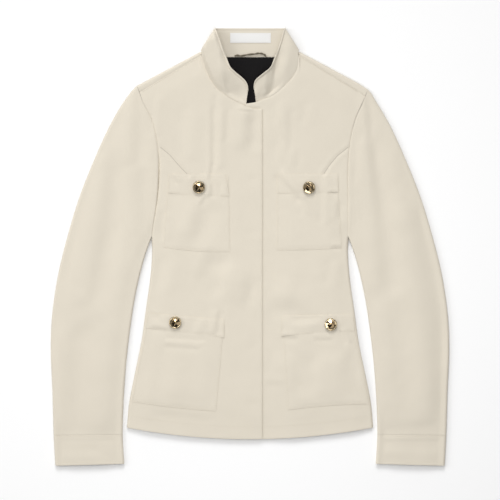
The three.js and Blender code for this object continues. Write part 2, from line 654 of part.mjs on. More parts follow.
function hangerLoop() {
  const path = new THREE.CatmullRomCurve3(LOOP.map((r) => point(r.x, r.down, r.z)));
  const section = new THREE.Shape();
  section.absarc(0, 0, LOOP_RADIUS, 0, 2 * Math.PI);
  return new THREE.ExtrudeGeometry(section, {
    steps: 12,
    curveSegments: 4,
    bevelEnabled: false,
    extrudePath: path,
  });
}

// A domed metal button on a short shank, cut in facets
function buttonDome(button) {
  const profile = BUTTON_PROFILE.map(({ r, z }) => new THREE.Vector2(r, z));
  const geometry = new THREE.LatheGeometry(profile, BUTTON_FACETS);
  geometry.rotateX(Math.PI / 2);
  const base = frontHeight(button.x, button.down, button.side) + FLAP_ABOVE + FLAP_WALL / 2 + SEAM;
  const at = point(button.x, button.down, base);
  geometry.translate(at.x, at.y, at.z);
  return geometry;
}

const CLOTH = new THREE.MeshStandardMaterial({ color: 0xe3dccb, roughness: 0.85, metalness: 0 });
const LINING = new THREE.MeshStandardMaterial({ color: 0x1d1c1c, roughness: 0.55, metalness: 0 });
const WHITE = new THREE.MeshStandardMaterial({ color: 0xf2f1ee, roughness: 0.7, metalness: 0 });
const CORD = new THREE.MeshStandardMaterial({ color: 0x6a5f4c, roughness: 0.5, metalness: 0 });
const BRASS = new THREE.MeshStandardMaterial({ color: 0x8f7748, roughness: 0.22, metalness: 1 });

const jacket = new THREE.Group();

function add(name, geometry, material) {
  const mesh = new THREE.Mesh(geometry, material);
  mesh.name = name;
  jacket.add(mesh);
}

add("back", backPanel(), CLOTH);
for (const side of ["right", "left"]) {
  add(`front_${side}`, frontPanel(side), CLOTH);
  add(`top_sleeve_${side}`, sleevePanel(side, true), CLOTH);
  add(`under_sleeve_${side}`, sleevePanel(side, false), CLOTH);
  add(`cuff_${side}`, cuffBand(side), CLOTH);
  for (const place of ["chest", "hip"]) {
    const [pocket, flap] = [`${place}_pocket_${side}`, `${place}_flap_${side}`];
    add(pocket, patch(pocket, side, POCKET_ABOVE, POCKET_WALL, 8), CLOTH);
    add(flap, patch(flap, side, FLAP_ABOVE, FLAP_WALL, 4), CLOTH);
  }
}
add("collar", collarBand(), CLOTH);
add("neck_lining", liningPatch(), LINING);
add("neck_label", neckLabel(), WHITE);
add("hanger_loop", hangerLoop(), CORD);
for (const button of BUTTONS) add(button.name, buttonDome(button), BRASS);

export default jacket;
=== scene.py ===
"""A woman's field jacket, laid flat: sewn cloth shells, creases, stitches, lining and buttons.

Lengths in this file are millimetres, and "down" is the distance below the collar's top edge,
unless a name ends in _m. The wearer's right side is at -X.
"""

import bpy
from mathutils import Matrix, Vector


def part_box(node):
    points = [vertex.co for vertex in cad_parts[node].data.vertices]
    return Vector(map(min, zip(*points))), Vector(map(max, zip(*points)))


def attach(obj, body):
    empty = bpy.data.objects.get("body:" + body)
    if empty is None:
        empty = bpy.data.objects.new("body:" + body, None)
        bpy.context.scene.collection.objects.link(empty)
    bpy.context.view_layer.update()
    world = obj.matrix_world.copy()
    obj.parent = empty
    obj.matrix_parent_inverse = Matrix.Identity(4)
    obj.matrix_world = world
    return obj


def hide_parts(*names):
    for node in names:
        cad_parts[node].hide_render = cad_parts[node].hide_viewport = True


bl_info = {
    "name": "Field jacket",
    "version": (1, 0, 0),
    "blender": (4, 5, 0),
    "location": "View3D > Sidebar > Jacket",
    "description": "Builds a stand-collar field jacket, laid flat, over its packed solids",
    "category": "Object",
}

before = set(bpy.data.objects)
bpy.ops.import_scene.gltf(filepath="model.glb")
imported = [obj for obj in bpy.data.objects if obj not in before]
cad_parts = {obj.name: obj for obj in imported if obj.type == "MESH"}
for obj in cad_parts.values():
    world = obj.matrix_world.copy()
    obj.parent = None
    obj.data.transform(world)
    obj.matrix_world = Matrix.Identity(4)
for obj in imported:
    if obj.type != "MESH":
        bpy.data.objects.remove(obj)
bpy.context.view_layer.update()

import math

import bmesh
import bpy
from mathutils import Matrix, Vector, noise

MM = 0.001
TOTAL_LENGTH = 699.2
TOP = TOTAL_LENGTH / 2
SIDES = ("right", "left")
SIGN = {"right": -1, "left": 1}


def table(names, rows):
    """Rows as dictionaries with named columns."""
    return [dict(zip(names.split(), row)) for row in rows]


# The body, as in the solids
SIDE = table("down half", [
    (335.7, 157.3),
    (357.6, 156.4),
    (396, 159.2),
    (447.2, 166.4),
    (498.4, 173.6),
    (549.6, 184),
    (600.8, 193.6),
    (638.4, 196.8),
])
UNDERARM = SIDE[0]["down"]
HEM_CORNER = SIDE[-1]["down"]
HEM_SAG = 18.4
FRONT_EDGE = 19.2
SHOULDER_X = 79.2
SHOULDER_DOWN = 37.6
SHOULDER_SLOPE = 0.535
SHOULDER_SQUARE = 0.88
WRAP_NECK = 5
WRAP_TIP = 12
TIP = {"right": 180.8, "left": 188.9}
ARMHOLE = table("down right left", [
    (92, 180.8, 191.1),
    (104, 176.4, 186.2),
    (120, 170.5, 179.6),
    (145, 158, 168.8),
    (178, 149.4, 160.6),
    (215, 145.6, 157.4),
    (269, 148.3, 157),
    (322, 156.3, 157.2),
    (UNDERARM, 157.3, 157.3),
])
BACK_NECK = table("x down", [
    (0, 45.9),
    (50, 45.9),
    (62, 44.8),
    (70, 42.4),
    (76, 40),
    (SHOULDER_X, 38.7),
])
CORNERS = {
    "right": [(6.4, 128.5), (FRONT_EDGE, 129.8)],
    "left": [(-4.8, 120.4), (-FRONT_EDGE, 121.4)],
}

# Sections of a sleeve, from the armhole to the cuff's lower edge
SLEEVE = table("out_x out in_x in bend", [
    (180.8, 92, 157.9, UNDERARM, 1),
    (203, 119.5, 159.6, 339.5, 0.85),
    (224, 155.5, 162.6, 348, 0.65),
    (246.4, 204, 168.6, 366, 0.4),
    (272, 268, 176.6, 396, 0.2),
    (291.6, 332, 184.6, 434.4, 0.08),
    (307.2, 396, 191.8, 482.4, 0),
    (316.4, 460, 197.4, 530.4, 0),
    (318.4, 515, 200.6, 570.4, 0),
    (316, 575.2, 202.6, 607.2, 0),
    (313.8, 650.4, 203.6, 649.6, 0),
    (311.2, 699.2, 201, 696.2, 0),
])
CUFF_ROW = len(SLEEVE) - 2

# The collar, from the centre back round to each front end: base and top edge
COLLAR_BACK = [
    ((0, 45.5, 1.1), (0, 0, 1.1)),
    ((30, 45.5, 1.1), (24, 0, 1.1)),
    ((52, 44.9, 1.1), (42, 0, 1.1)),
    ((66, 41.6, 1.2), (50.5, 0, 1.2)),
    ((74.5, 37.6, 1.9), (54.4, 0, 2.2)),
    ((77.9, 35.9, 4.9), (55.6, 0.3, 6)),
    ((77.2, 36.6, 7.9), (55, 1.4, 9.6)),
]
COLLAR_FRONT = {
    "right": [
        ((76.8, 41.6, 8.9), (53.4, 6, 11.8)),
        ((75.6, 50, 8.9), (49.6, 17, 13.4)),
        ((71.4, 63.2, 8.6), (43.6, 34, 14.6)),
        ((62.4, 82.2, 8.3), (37, 50, 14.6)),
        ((54.7, 93.6, 8.2), (31.6, 62.4, 14)),
        ((44.5, 102.6, 8.2), (23.6, 70.4, 13.2)),
        ((29.2, 112.8, 8.1), (14, 78.2, 12.4)),
        ((17.5, 118.8, 8), (7, 85.4, 11.8)),
        ((11, 121.9, 8), (4.3, 92, 11.2)),
        ((6.4, 124.6, 8), (3.6, 99, 10.6)),
    ],
    "left": [
        ((76.9, 41.6, 8.9), (53.4, 6, 11.8)),
        ((77, 50, 8.9), (50, 17.6, 13.4)),
        ((75, 64, 8.6), (45, 33, 14.6)),
        ((67.4, 78.2, 8.3), (38.6, 50, 14.6)),
        ((57.2, 89.6, 8.2), (32.4, 62.6, 14)),
        ((47, 98.6, 8.1), (24.4, 69.8, 13.2)),
        ((35.4, 107.4, 7.4), (15.6, 77, 12.4)),
        ((24, 111.9, 6.2), (9.6, 82.4, 11.6)),
        ((16, 114.6, 5.6), (7.2, 88.6, 10.8)),
        ((9.4, 117.6, 5.4), (6.9, 96, 9.8)),
    ],
}

# Patches: the two ends of the inner edge, near the centre front, those of the outer edge (None: at the
# jacket's side), and the sag of the lower edge
PATCHES = {
    "chest_pocket_right": ((-34.4, 236), (-32, 356.8), (-130.4, 236), (-138.9, 349.6), 3),
    "chest_pocket_left": ((43.2, 236), (42.7, 354.4), (139.2, 236), (146.6, 351), 1.2),
    "chest_flap_right": ((-39.2, 232.8), (-33.3, 268), (-130.4, 232.8), (-130.7, 263.2), 1.6),
    "chest_flap_left": ((44, 232.8), (43.5, 263.2), (140, 232.8), (141.1, 261.3), 2.2),
    "hip_pocket_right": ((-41.6, 468), (-54.4, 612), (None, 460), (None, 596.8), 1.6),
    "hip_pocket_left": ((51.2, 461), (60.2, 610.2), (None, 458.4), (None, 600.6), -2),
    "hip_flap_right": ((-41.6, 465.8), (-41.6, 494.4), (None, 455.2), (None, 479.2), -1),
    "hip_flap_left": ((50.9, 459.2), (50.4, 492.3), (None, 456.8), (None, 483.4), -1.6),
}
SIDE_INSET = 3.2

# Soft folds of the upper cloth: the ends of each line (x, down), its width and its fall. Across a line
# that runs downwards the cloth falls to the right, and across one that runs leftwards it falls below.
# The fall is half the drop, and the width half the slope.
FOLDS = [
    ((15, 127), (-10, 124), 2.2, 0.4),
    ((4, 132), (-18, 130), 2.4, 0.35),
    # Wearer's right sleeve
    ((-182, 96), (-184, 215), 11, 1.1),
    ((-179, 225), (-176, 330), 9, 0.5),
    ((-204, 225), (-206, 322), 9, -0.6),
    ((-208, 322), (-222, 430), 11, -0.6),
    ((-226, 200), (-235, 310), 11, 0.8),
    ((-235, 310), (-258, 440), 12, 1.0),
    ((-256, 240), (-290, 405), 12, -0.4),
    ((-240, 470), (-246, 590), 16, -0.5),
    ((-288, 480), (-294, 640), 18, 1.6),
    ((-216, 520), (-219, 620), 13, 0.3),
    ((-222, 640), (-300, 638), 12, 0.45),
    ((-214, 656), (-304, 657), 3.4, 0.16),
    ((-240, 680), (-300, 678), 8, -0.35),
    # Wearer's left sleeve
    ((185, 108), (190, 175), 6, 0.7),
    ((190, 175), (199, 250), 9, 1.2),
    ((199, 250), (206, 312), 11, 1.1),
    ((206, 312), (214, 420), 16, 1.3),
    ((172, 180), (174, 250), 7, -0.4),
    ((218, 190), (230, 322), 14, -0.9),
    ((230, 322), (240, 420), 15, -0.5),
    ((262, 290), (284, 430), 18, 1.5),
    ((284, 430), (298, 620), 19, 1.9),
    ((226, 440), (230, 610), 18, 0.6),
    ((296, 630), (212, 636), 9, 0.35),
    ((304, 657), (212, 658), 3.4, 0.2),
    ((300, 674), (214, 672), 7, -0.3),
    # Wearer's right chest
    ((-150, 110), (-154, 170), 6, -0.5),
    ((-100, 128), (-104, 206), 11, -0.6),
    ((-62, 126), (-61.5, 215), 3.6, 0.4),
    ((-61.5, 215), (-67, 246), 3.6, 0.6),
    ((-51, 108), (-52, 222), 5, -0.6),
    ((-39, 130), (-42, 180), 5, 0.4),
    ((2, 122), (-6, 190), 11, 1.5),
    ((4, 116), (-28, 114), 8, 0.5),
    ((-114, 247), (-124, 234), 4, 0.7),
    ((-114, 266), (-128, 264), 4, 0.3),
    ((-62, 244), (-64, 270), 4, 0.7),
    ((-44, 250), (-46, 268), 5, -0.4),
    ((-72, 268), (-80, 282), 3.5, 0.5),
    ((-78, 282), (-92, 338), 14, 1.4),
    ((-136, 296), (-137, 338), 5, -0.5),
    ((-66, 358), (-83, 400), 9, 0.45),
    # Wearer's left chest
    ((45, 120), (44, 152), 7, -0.5),
    ((61, 130), (60, 192), 6, 0.5),
    ((92, 124), (91, 152), 8, -0.4),
    ((46, 188), (44, 212), 8, -0.4),
    ((73, 196), (71, 222), 6, 0.4),
    ((82, 274), (46, 233), 6, 1.1),
    ((88, 298), (80, 270), 6, 0.6),
    ((117, 238), (118, 312), 6, -0.6),
    ((139, 263), (126, 261), 3, 0.5),
    ((140, 278), (139, 304), 5, 0.6),
    ((144, 350), (131, 348), 3.5, 0.7),
    # Waist
    ((-132, 370), (-140, 420), 12, -0.9),
    ((-38, 372), (-46, 428), 14, -1.5),
    ((-12, 388), (-60, 384), 12, -0.6),
    ((-4, 400), (-8, 440), 10, 0.9),
    ((92, 446), (36, 438), 14, 1.1),
    ((72, 400), (66, 440), 13, 0.5),
    ((112, 467), (66, 472), 6, -0.5),
    ((133, 370), (131, 410), 9, -0.6),
    # Hips
    ((-50, 452), (-56, 488), 5, 0.7),
    ((-84, 464), (-86, 486), 6, -0.4),
    ((-72, 501), (-136, 497), 3.2, -0.3),
    ((-80, 511), (-136, 506), 3.6, 0.35),
    ((-131, 482), (-157, 476), 4, 0.5),
    ((-144, 459), (-165, 453), 4, 0.4),
    ((-130, 512), (-134, 590), 16, -0.8),
    ((-62, 512), (-64, 592), 14, 0.3),
    ((75, 494), (51, 492), 4, 0.6),
    ((131, 496), (102, 495), 4, 0.45),
    ((157, 503), (146, 482), 4, 0.7),
    ((41, 520), (39, 548), 10, -0.35),
    ((54, 567), (26, 566), 6, 0.35),
    ((73, 528), (69, 580), 12, 0.6),
    ((108, 524), (104, 584), 12, -0.8),
    ((150, 524), (151, 590), 14, 1.0),
    ((-60, 622), (-150, 612), 7, 0.25),
]
FOLD_REACH = 3
# Gathers where the hidden buttons of the placket pull the cloth
PLACKET_BUTTONS = [(3.2, 152), (3.2, 242.4), (3.2, 327.2), (3.2, 418.4), (3.2, 510), (3.2, 600)]
# The darts, from the armhole to the chest flaps
DARTS = {
    "right": [(-143.5, 189.9), (-128.2, 202.6), (-110.4, 223), (-97.6, 235.8)],
    "left": [(157.4, 189.9), (139.7, 204), (126.9, 219.2), (117.9, 233.3)],
}
# Each button, and how far it is turned on its shank, in degrees
BUTTONS = {
    "button_chest_right": 38,
    "button_chest_left": 103,
    "button_hip_right": 46,
    "button_hip_left": 161,
}
LOOP_POINTS = [
    (-24.5, 44, 3.9), (-21, 43.4, 4.3), (-14, 44.2, 4.2), (-4, 42.2, 4.6), (8, 41, 4.8),
    (14, 40, 4.8), (20, 40.8, 4.5), (24.5, 43.2, 4.1), (25.5, 45, 3.9),
]
LABEL = {"x": 0.8, "down": 15.2, "width": 65, "height": 16}
GAP = 0.3


def lerp(a, b, t):
    return a + (b - a) * t


def clamp(value, low=0.0, high=1.0):
    return max(low, min(high, value))


def smooth(t):
    t = clamp(t)
    return t * t * (3 - 2 * t)


def spot(x, down, z):
    """A point in the row frame, in metres."""
    return Vector((x, TOP - down, z)) * MM


def hump(at, middle, width):
    """A soft hump, 1 high at its middle."""
    return math.exp(-(((at - middle) / width) ** 2))


def on_curve(a, m, b, n, t):
    """The curve from a to b, which leaves a at the slope m and comes to b at the slope n."""
    t2, t3 = t * t, t * t * t
    return a * (2 * t3 - 3 * t2 + 1) + m * (t3 - 2 * t2 + t) + b * (3 * t2 - 2 * t3) + n * (t3 - t2)


def read(table, key, at, column):
    """One column of a table at a key, on a smooth curve through its rows."""
    rows = [(row[key], row[column]) for row in table]
    i = 0
    while i < len(rows) - 2 and at > rows[i + 1][0]:
        i += 1
    (ka, a), (kb, b) = rows[i], rows[i + 1]
    before, after = rows[max(i - 1, 0)], rows[min(i + 2, len(rows) - 1)]
    span = kb - ka
    m = (b - before[1]) / (kb - before[0]) * span
    n = (after[1] - a) / (after[0] - ka) * span
    return on_curve(a, m, b, n, clamp((at - ka) / span))


def along_curve(points, at):
    """A point on a smooth curve through vectors; at counts them."""
    last = len(points) - 1
    i = int(clamp(math.floor(at), 0, last - 1))
    a, b = points[i], points[i + 1]
    before, after = points[max(i - 1, 0)], points[min(i + 2, last)]
    chord = (b - a).length or 1e-6
    back = (a - before).length or chord
    ahead = (after - b).length or chord
    m = (b - before) * (chord / (chord + back))
    n = (after - a) * (chord / (chord + ahead))
    return on_curve(a, m, b, n, clamp(at - i))


def between(values, at):
    i = int(clamp(math.floor(at), 0, len(values) - 2))
    return lerp(values[i], values[i + 1], at - i)


def spaced(width, step, near_start, near_end):
    """Distances of grid lines along a width: close together at the ends, even between."""
    start, end = near_start[-1], width - near_end[-1]
    count = max(1, round((end - start) / step))
    middle = [lerp(start, end, k / count) for k in range(1, count)]
    return list(near_start) + middle + [width - d for d in reversed(near_end)]


def parts(width, *spacing):
    """The same grid lines as parts of the width, 0 to 1."""
    return [d / width for d in spaced(width, *spacing)]


FINE_EDGE = (0, 0.5, 1.2, 2.2, 3.6, 5.4)
FOLD_EDGE = (0, 0.12, 0.45, 1.0, 1.8, 2.8, 4, 5.6)


def settings():
    return bpy.context.scene.jacket


def wall_mm():
    return settings().wall_m / MM


def side_half(down):
    return read(SIDE, "down", max(down, UNDERARM), "half") - wall_mm() / 2


def tip_droop(x):
    """The shoulder's tip droops a little on the wearer's left."""
    return 1.8 * smooth((x - 172) / 17)


def fold_down(x):
    return SHOULDER_DOWN + (abs(x) - SHOULDER_X) * SHOULDER_SLOPE + 0.8 / SHOULDER_SQUARE + tip_droop(x)


def wrap_at(x):
    return lerp(WRAP_NECK, WRAP_TIP, max(0, (abs(x) - SHOULDER_X) / 100))


def armhole_x(down, side):
    return read(ARMHOLE, "down", down, side)


def near_underarm(down):
    return smooth(1 - (UNDERARM - down) / 5)


def body_edge(down, side):
    if down >= UNDERARM:
        return side_half(down)
    return lerp(armhole_x(down, side) - GAP, side_half(UNDERARM), near_underarm(down))


def body_fold(x, down):
    """Distance from a point of the body to the nearest fold."""
    across = side_half(down) - abs(x)
    to_side = across if down >= UNDERARM else math.hypot(across, UNDERARM - down)
    to_shoulder = (down - fold_down(x)) * SHOULDER_SQUARE if abs(x) >= SHOULDER_X else 40
    return max(0, min(to_side, to_shoulder))


def segment_place(x, down, x1, down1, x2, down2):
    """How far along a segment a point lies, 0 to 1, and how far off it."""
    ax, ad = x2 - x1, down2 - down1
    t = clamp(((x - x1) * ax + (down - down1) * ad) / math.hypot(ax, ad) ** 2)
    return t, math.hypot(x - x1 - t * ax, down - down1 - t * ad)


def fold_height(fold, x, down):
    """Height of one fold: it fades past both ends, so that folds can follow each other."""
    (x1, down1), (x2, down2), width, fall = fold
    length = math.hypot(x2 - x1, down2 - down1)
    ax, ad = (x2 - x1) / length, (down2 - down1) / length
    along = (x - x1) * ax + (down - down1) * ad
    off = ((x - x1) * ad - (down - down1) * ax) / width
    if abs(off) > FOLD_REACH:
        return 0
    inside = smooth(0.5 + min(along, length - along) / (2 * width))
    return -fall * off * math.exp(0.5 - off * off / 2) * inside


def fold_reach(fold):
    (x1, down1), (x2, down2), width, _ = fold
    reach = FOLD_REACH * width
    return min(x1, x2) - reach, max(x1, x2) + reach, min(down1, down2) - reach, max(down1, down2) + reach


FOLDS_IN_REACH = [(*fold_reach(fold), fold) for fold in FOLDS]


def creases_at(x, down):
    """Height of the folds and slow waves of the upper cloth."""
    height = 0
    for left, right, high, low, fold in FOLDS_IN_REACH:
        if left < x < right and high < down < low:
            height += fold_height(fold, x, down)
    height *= settings().crease
    place = Vector((x, down, 3.7))
    height += 0.45 * noise.noise(place / 46) + 0.2 * noise.noise(place / 17)
    return height


FOLD_ROUND = 3.2
CREST = 3.0


def round_edge(distance, radius=FOLD_ROUND):
    near = clamp(distance / radius)
    return radius * math.sqrt(1 - (1 - near) ** 2)


def top_height(distance, x, down):
    """Middle of the upper cloth at a distance from its fold."""
    neck = math.hypot(x, down - 60)
    lift = 1.2 * smooth(1 - (neck - 78) / 60)
    full = settings().loft_m / MM + lift
    inner = smooth(distance / 14)
    return (CREST + GAP / 2 + round_edge(distance)
            + (full - CREST - FOLD_ROUND) * smooth(distance / 34) + creases_at(x, down) * inner)


def low_height(distance, x=0, down=0):
    """Middle of the under cloth: on the surface with slow waves, and curled up at its folds."""
    place = Vector((x + 0.3 * down, down * 0.4, 21.3))
    wave = 1.6 * max(0, noise.noise(place / 31) - 0.08) * smooth(distance / 18) * settings().crease
    edge, curl = CREST - GAP / 2, 2.2
    return edge - (edge - wall_mm() / 2) * round_edge(distance, curl) / curl + wave


def seam_dip(distance, depth=1.0, width=1.8):
    return -depth * hump(distance, 0, width)


def pucker(distance, along, amount=0.22):
    """Small gathers of the cloth beside a line of stitches."""
    wave = noise.noise(Vector((along / 5.5, distance / 30, 8.1)))
    return amount * wave * smooth(1 - distance / 14) * smooth(distance / 1.5)


def line_offset(x, down, points):
    """Signed distance from a line of points, and how far along it, 0 to 1."""
    best = None
    for k, (a, b) in enumerate(zip(points, points[1:])):
        t, off = segment_place(x, down, *a, *b)
        if best is None or off < best[0]:
            left = (b[0] - a[0]) * (down - a[1]) - (b[1] - a[1]) * (x - a[0])
            best = (off, math.copysign(off, left), (k + t) / (len(points) - 1))
    return best[1], best[2]


def dart_dip(x, down, side):
    """The dart's seam sinks a little, and its two sides puff up beside it."""
    off, along = line_offset(x, down, DARTS[side])
    return (seam_dip(off, 0.8, 2.2) + 0.45 * hump(abs(off), 5, 4)) * (0.6 + 0.4 * along)


def placket_pull(x, down):
    """The cloth sinks a little over each hidden button."""
    return sum(seam_dip(math.hypot((x - bx) / 1.3, down - bd), 0.55, 8) for bx, bd in PLACKET_BUTTONS)


def hem_at(x):
    return HEM_CORNER + HEM_SAG * (1 - (x / side_half(HEM_CORNER)) ** 2)


def hem_settle(x, down):
    """The upper cloth lies lower towards the hem."""
    left = hem_at(x) - down
    return -1.7 * smooth(1 - left / 80) + 0.15 * hump(left, 4, 4)


def armhole_depth(down, side):
    """The seam is deepest half way down, and deeper on the wearer's right."""
    low, deep, middle = (0.8, 3.2, 245) if side == "right" else (0.4, 0.6, 225)
    return low * smooth((down - 106) / 40) + deep * hump(down, middle, 42)


def under_drop(x):
    """How far the under front lies below the over front."""
    return 1.85 * smooth(1 - (x - FRONT_EDGE - 4) / 50)


def front_height(x, down, side):
    """Middle of a front's cloth, with its seams, dart and creases."""
    height = top_height(body_fold(x, down), x, down) + hem_settle(x, down)
    if down < UNDERARM:
        off = (armhole_x(down, side) - abs(x)) * 0.97
        height += seam_dip(off, armhole_depth(down, side), 1.5) + pucker(off, down)
        height += dart_dip(x, down, side)
    if abs(x) < 60:
        height += placket_pull(x, down)
    if side == "left":
        height -= under_drop(x)
    return height


def neckline(side):
    """The front's edge along the collar seam, and on to its front corner."""
    neck_x = SHOULDER_X - 1.8
    points = [Vector((SIGN[side] * neck_x, fold_down(neck_x) + wrap_at(neck_x) + 0.2))]
    for (bx, bd, _), (tx, td, _) in COLLAR_FRONT[side][1:]:
        out = Vector((bx - tx, bd - td)).normalized() * 0.4
        points.append(Vector((SIGN[side] * (bx + out.x), bd + out.y)))
    return points + [Vector(p) for p in CORNERS[side]]


def shoulder_end(side, below):
    x = TIP[side]
    for _ in range(3):
        x = armhole_x(fold_down(SIGN[side] * x) + below, side) - GAP
    return x, fold_down(SIGN[side] * x) + below


def path_length(points):
    return sum((b - a).length for a, b in zip(points, points[1:]))


def edges_at(verts):
    """The edges that meet at some vertices, each once and in the same order in every run."""
    return list(dict.fromkeys(edge for v in verts for edge in v.link_edges))


def new_object(bm, name):
    """Turns a bmesh into an object of the scene."""
    mesh = bpy.data.meshes.new(name)
    bm.to_mesh(mesh)
    bm.free()
    piece = bpy.data.objects.new(name, mesh)
    bpy.context.collection.objects.link(piece)
    return piece


def cloth_mesh(name, place, across, along, wall, grain=None, seam=None):
    """A shell of cloth: a grid whose points place(a, b) puts on its middle surface.

    The UV map "cut" holds metres on the cloth. seam(x, down) is the signed distance in
    millimetres from a sewn line that the material draws.
    """
    bm = bmesh.new()
    nx, ny = len(across) - 1, len(along) - 1
    bmesh.ops.create_grid(bm, x_segments=nx, y_segments=ny, size=0.5)
    uv = bm.loops.layers.uv.new("cut")
    sewn = bm.verts.layers.float.new("seam") if seam else None
    spots = [[place(a, b) for a in across] for b in along]
    cut = {}
    for v in bm.verts:
        i, j = round((v.co.x + 0.5) * nx), round((0.5 - v.co.y) * ny)
        v.co = spots[j][i]
        cut[v] = grain(across[i], along[j]) if grain else (v.co.x, v.co.y)
        if seam:
            v[sewn] = seam(v.co.x / MM, TOP - v.co.y / MM) * MM
    for face in bm.faces:
        face.smooth = True
        for loop in face.loops:
            loop[uv].uv = cut[loop.vert]
    area = sum(face.calc_area() for face in bm.faces)
    width = max(path_length(row) for row in spots)
    length = max(path_length(column) for column in zip(*spots))
    piece = new_object(bm, name)
    thicken(piece, wall)
    piece["cut"] = (width, length, area)
    return piece


def thicken(piece, wall):
    """Gives cloth its thickness and rounds its edges."""
    solid = piece.modifiers.new("Cloth wall", "SOLIDIFY")
    solid.thickness = wall * MM
    solid.offset = 0
    solid.use_even_offset = False
    edge = piece.modifiers.new("Turned edge", "BEVEL")
    edge.width = wall * MM * 0.3
    edge.segments = 2
    edge.limit_method = "ANGLE"
    edge.angle_limit = math.radians(50)


def sew_on(piece, material, nodes=()):
    """Gives a finished piece its material, hangs it on the root body and hides the solids it stands for."""
    piece.data.materials.append(material)
    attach(piece, "root")
    if nodes:
        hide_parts(*nodes)
    return piece


def sew_cloth(node, place, across, along, wall, rests_on, darts=False, **more):
    """A piece of the jacket's own cloth, in place of its solid."""
    piece = cloth_mesh(f"cloth_{node}", place, across, along, wall, **more)
    sew_on(piece, cloth_material(darts), [node])


# Materials

def kept(store, name, make):
    """The material or node group of this name, made the first time."""
    return store[name] if name in store else make(name)


def feed(tree, socket, value):
    """Links an input to another node's output, or gives it a value."""
    if hasattr(value, "is_output"):
        tree.links.new(value, socket)
    else:
        socket.default_value = value


def add_node(tree, kind, inputs, **fields):
    node = tree.nodes.new("ShaderNode" + kind)
    for field, value in fields.items():
        setattr(node, field, value)
    for key, value in inputs.items():
        feed(tree, node.inputs[key], value)
    return node


def add_math(tree, operation, *values):
    return add_node(tree, "Math", dict(enumerate(values)), operation=operation).outputs[0]


def add_scaled(tree, colour, factor):
    """A colour made brighter or darker by a factor."""
    return add_node(tree, "VectorMath", {0: colour, "Scale": factor}, operation="SCALE").outputs[0]


def add_mix(tree, factor, a, b):
    inputs = {"Factor": factor, "A": a, "B": b}
    return add_node(tree, "Mix", inputs, data_type="RGBA").outputs["Result"]


def new_material(name):
    material = bpy.data.materials.new(name)
    material.use_nodes = True
    tree = material.node_tree
    tree.nodes.clear()
    shader = add_node(tree, "BsdfPrincipled", {})
    add_node(tree, "OutputMaterial", {"Surface": shader.outputs["BSDF"]})
    return material, tree, shader


def new_group(name, *sockets):
    """A group of shader nodes with its input and its output node."""
    group = bpy.data.node_groups.new(name, "ShaderNodeTree")
    for label, direction, kind in sockets:
        group.interface.new_socket(name=label, in_out=direction, socket_type="NodeSocket" + kind)
    return group, group.nodes.new("NodeGroupInput"), group.nodes.new("NodeGroupOutput")


def weave_group(name):
    """Diagonal ribs of a twill, its threads and a slow change of tone."""
    group, inputs, outputs = new_group(
        name, ("Colour", "INPUT", "Color"), ("Rib pitch", "INPUT", "Float"), ("Mottle", "INPUT", "Float"),
        ("Colour", "OUTPUT", "Color"), ("Height", "OUTPUT", "Float"), ("Roughness", "OUTPUT", "Float"))

    def calc(operation, *values):
        return add_math(group, operation, *values)

    uv = add_node(group, "UVMap", {}, uv_map="cut").outputs["UV"]
    split = add_node(group, "SeparateXYZ", {0: uv})
    across, along = split.outputs["X"], split.outputs["Y"]
    per_rib = calc("DIVIDE", 2 * math.pi, inputs.outputs["Rib pitch"])
    diagonal = calc("MULTIPLY", calc("ADD", across, calc("MULTIPLY", along, 0.62)), per_rib)
    threads = calc("MULTIPLY", calc("SUBTRACT", along, across), per_rib)
    rib = calc("MULTIPLY", calc("SINE", diagonal), 0.5)
    thread = calc("MULTIPLY", calc("SINE", calc("MULTIPLY", threads, 2.3)), 0.25)
    fuzz = add_node(group, "TexNoise", {"Scale": 900, "Detail": 3, "Vector": uv}).outputs["Fac"]
    slow = add_node(group, "TexNoise", {"Scale": 14, "Detail": 4, "Vector": uv}).outputs["Fac"]
    tone = calc("MULTIPLY", calc("SUBTRACT", slow, 0.5), inputs.outputs["Mottle"])
    grain = calc("MULTIPLY", calc("SUBTRACT", fuzz, 0.5), 0.06)
    bright = calc("ADD", calc("ADD", tone, grain), 1)
    feed(group, outputs.inputs["Height"], calc("ADD", calc("ADD", rib, thread), fuzz))
    feed(group, outputs.inputs["Colour"], add_scaled(group, inputs.outputs["Colour"], bright))
    feed(group, outputs.inputs["Roughness"], calc("ADD", calc("MULTIPLY", fuzz, 0.12), 0.72))
    return group


def seam_group(name):
    """A soft line where the attribute "seam" passes through nought."""
    group, inputs, outputs = new_group(name, ("Half width", "INPUT", "Float"), ("Mask", "OUTPUT", "Float"))
    seam = add_node(group, "Attribute", {}, attribute_name="seam")
    off = add_math(group, "ABSOLUTE", seam.outputs["Fac"])
    mask = add_math(group, "SUBTRACT", 1, add_math(group, "DIVIDE", off, inputs.outputs["Half width"]))
    mask.node.use_clamp = True
    feed(group, outputs.inputs["Mask"], mask)
    return group


def draw_seam(tree, shader, half_width, painted_seam_shade):
    """Paints shade along the line that the seam group finds, as the dart's narrow groove would be shaded, and
    sinks that line.
    """
    group = kept(bpy.data.node_groups, "Seam line", seam_group)
    mask = add_node(tree, "Group", {"Half width": half_width * MM}, node_tree=group).outputs["Mask"]
    base = shader.inputs["Base Color"].links[0].from_socket
    # Painted shade: the cloth's colour is darkened along the seam line.
    dark = add_math(tree, "SUBTRACT", 1, add_math(tree, "MULTIPLY", mask, painted_seam_shade))
    feed(tree, shader.inputs["Base Color"], add_scaled(tree, base, dark))
    relief = shader.inputs["Normal"].links[0].from_node.inputs["Height"]
    height = relief.links[0].from_socket
    feed(tree, relief, add_math(tree, "SUBTRACT", height, add_math(tree, "MULTIPLY", mask, 6)))


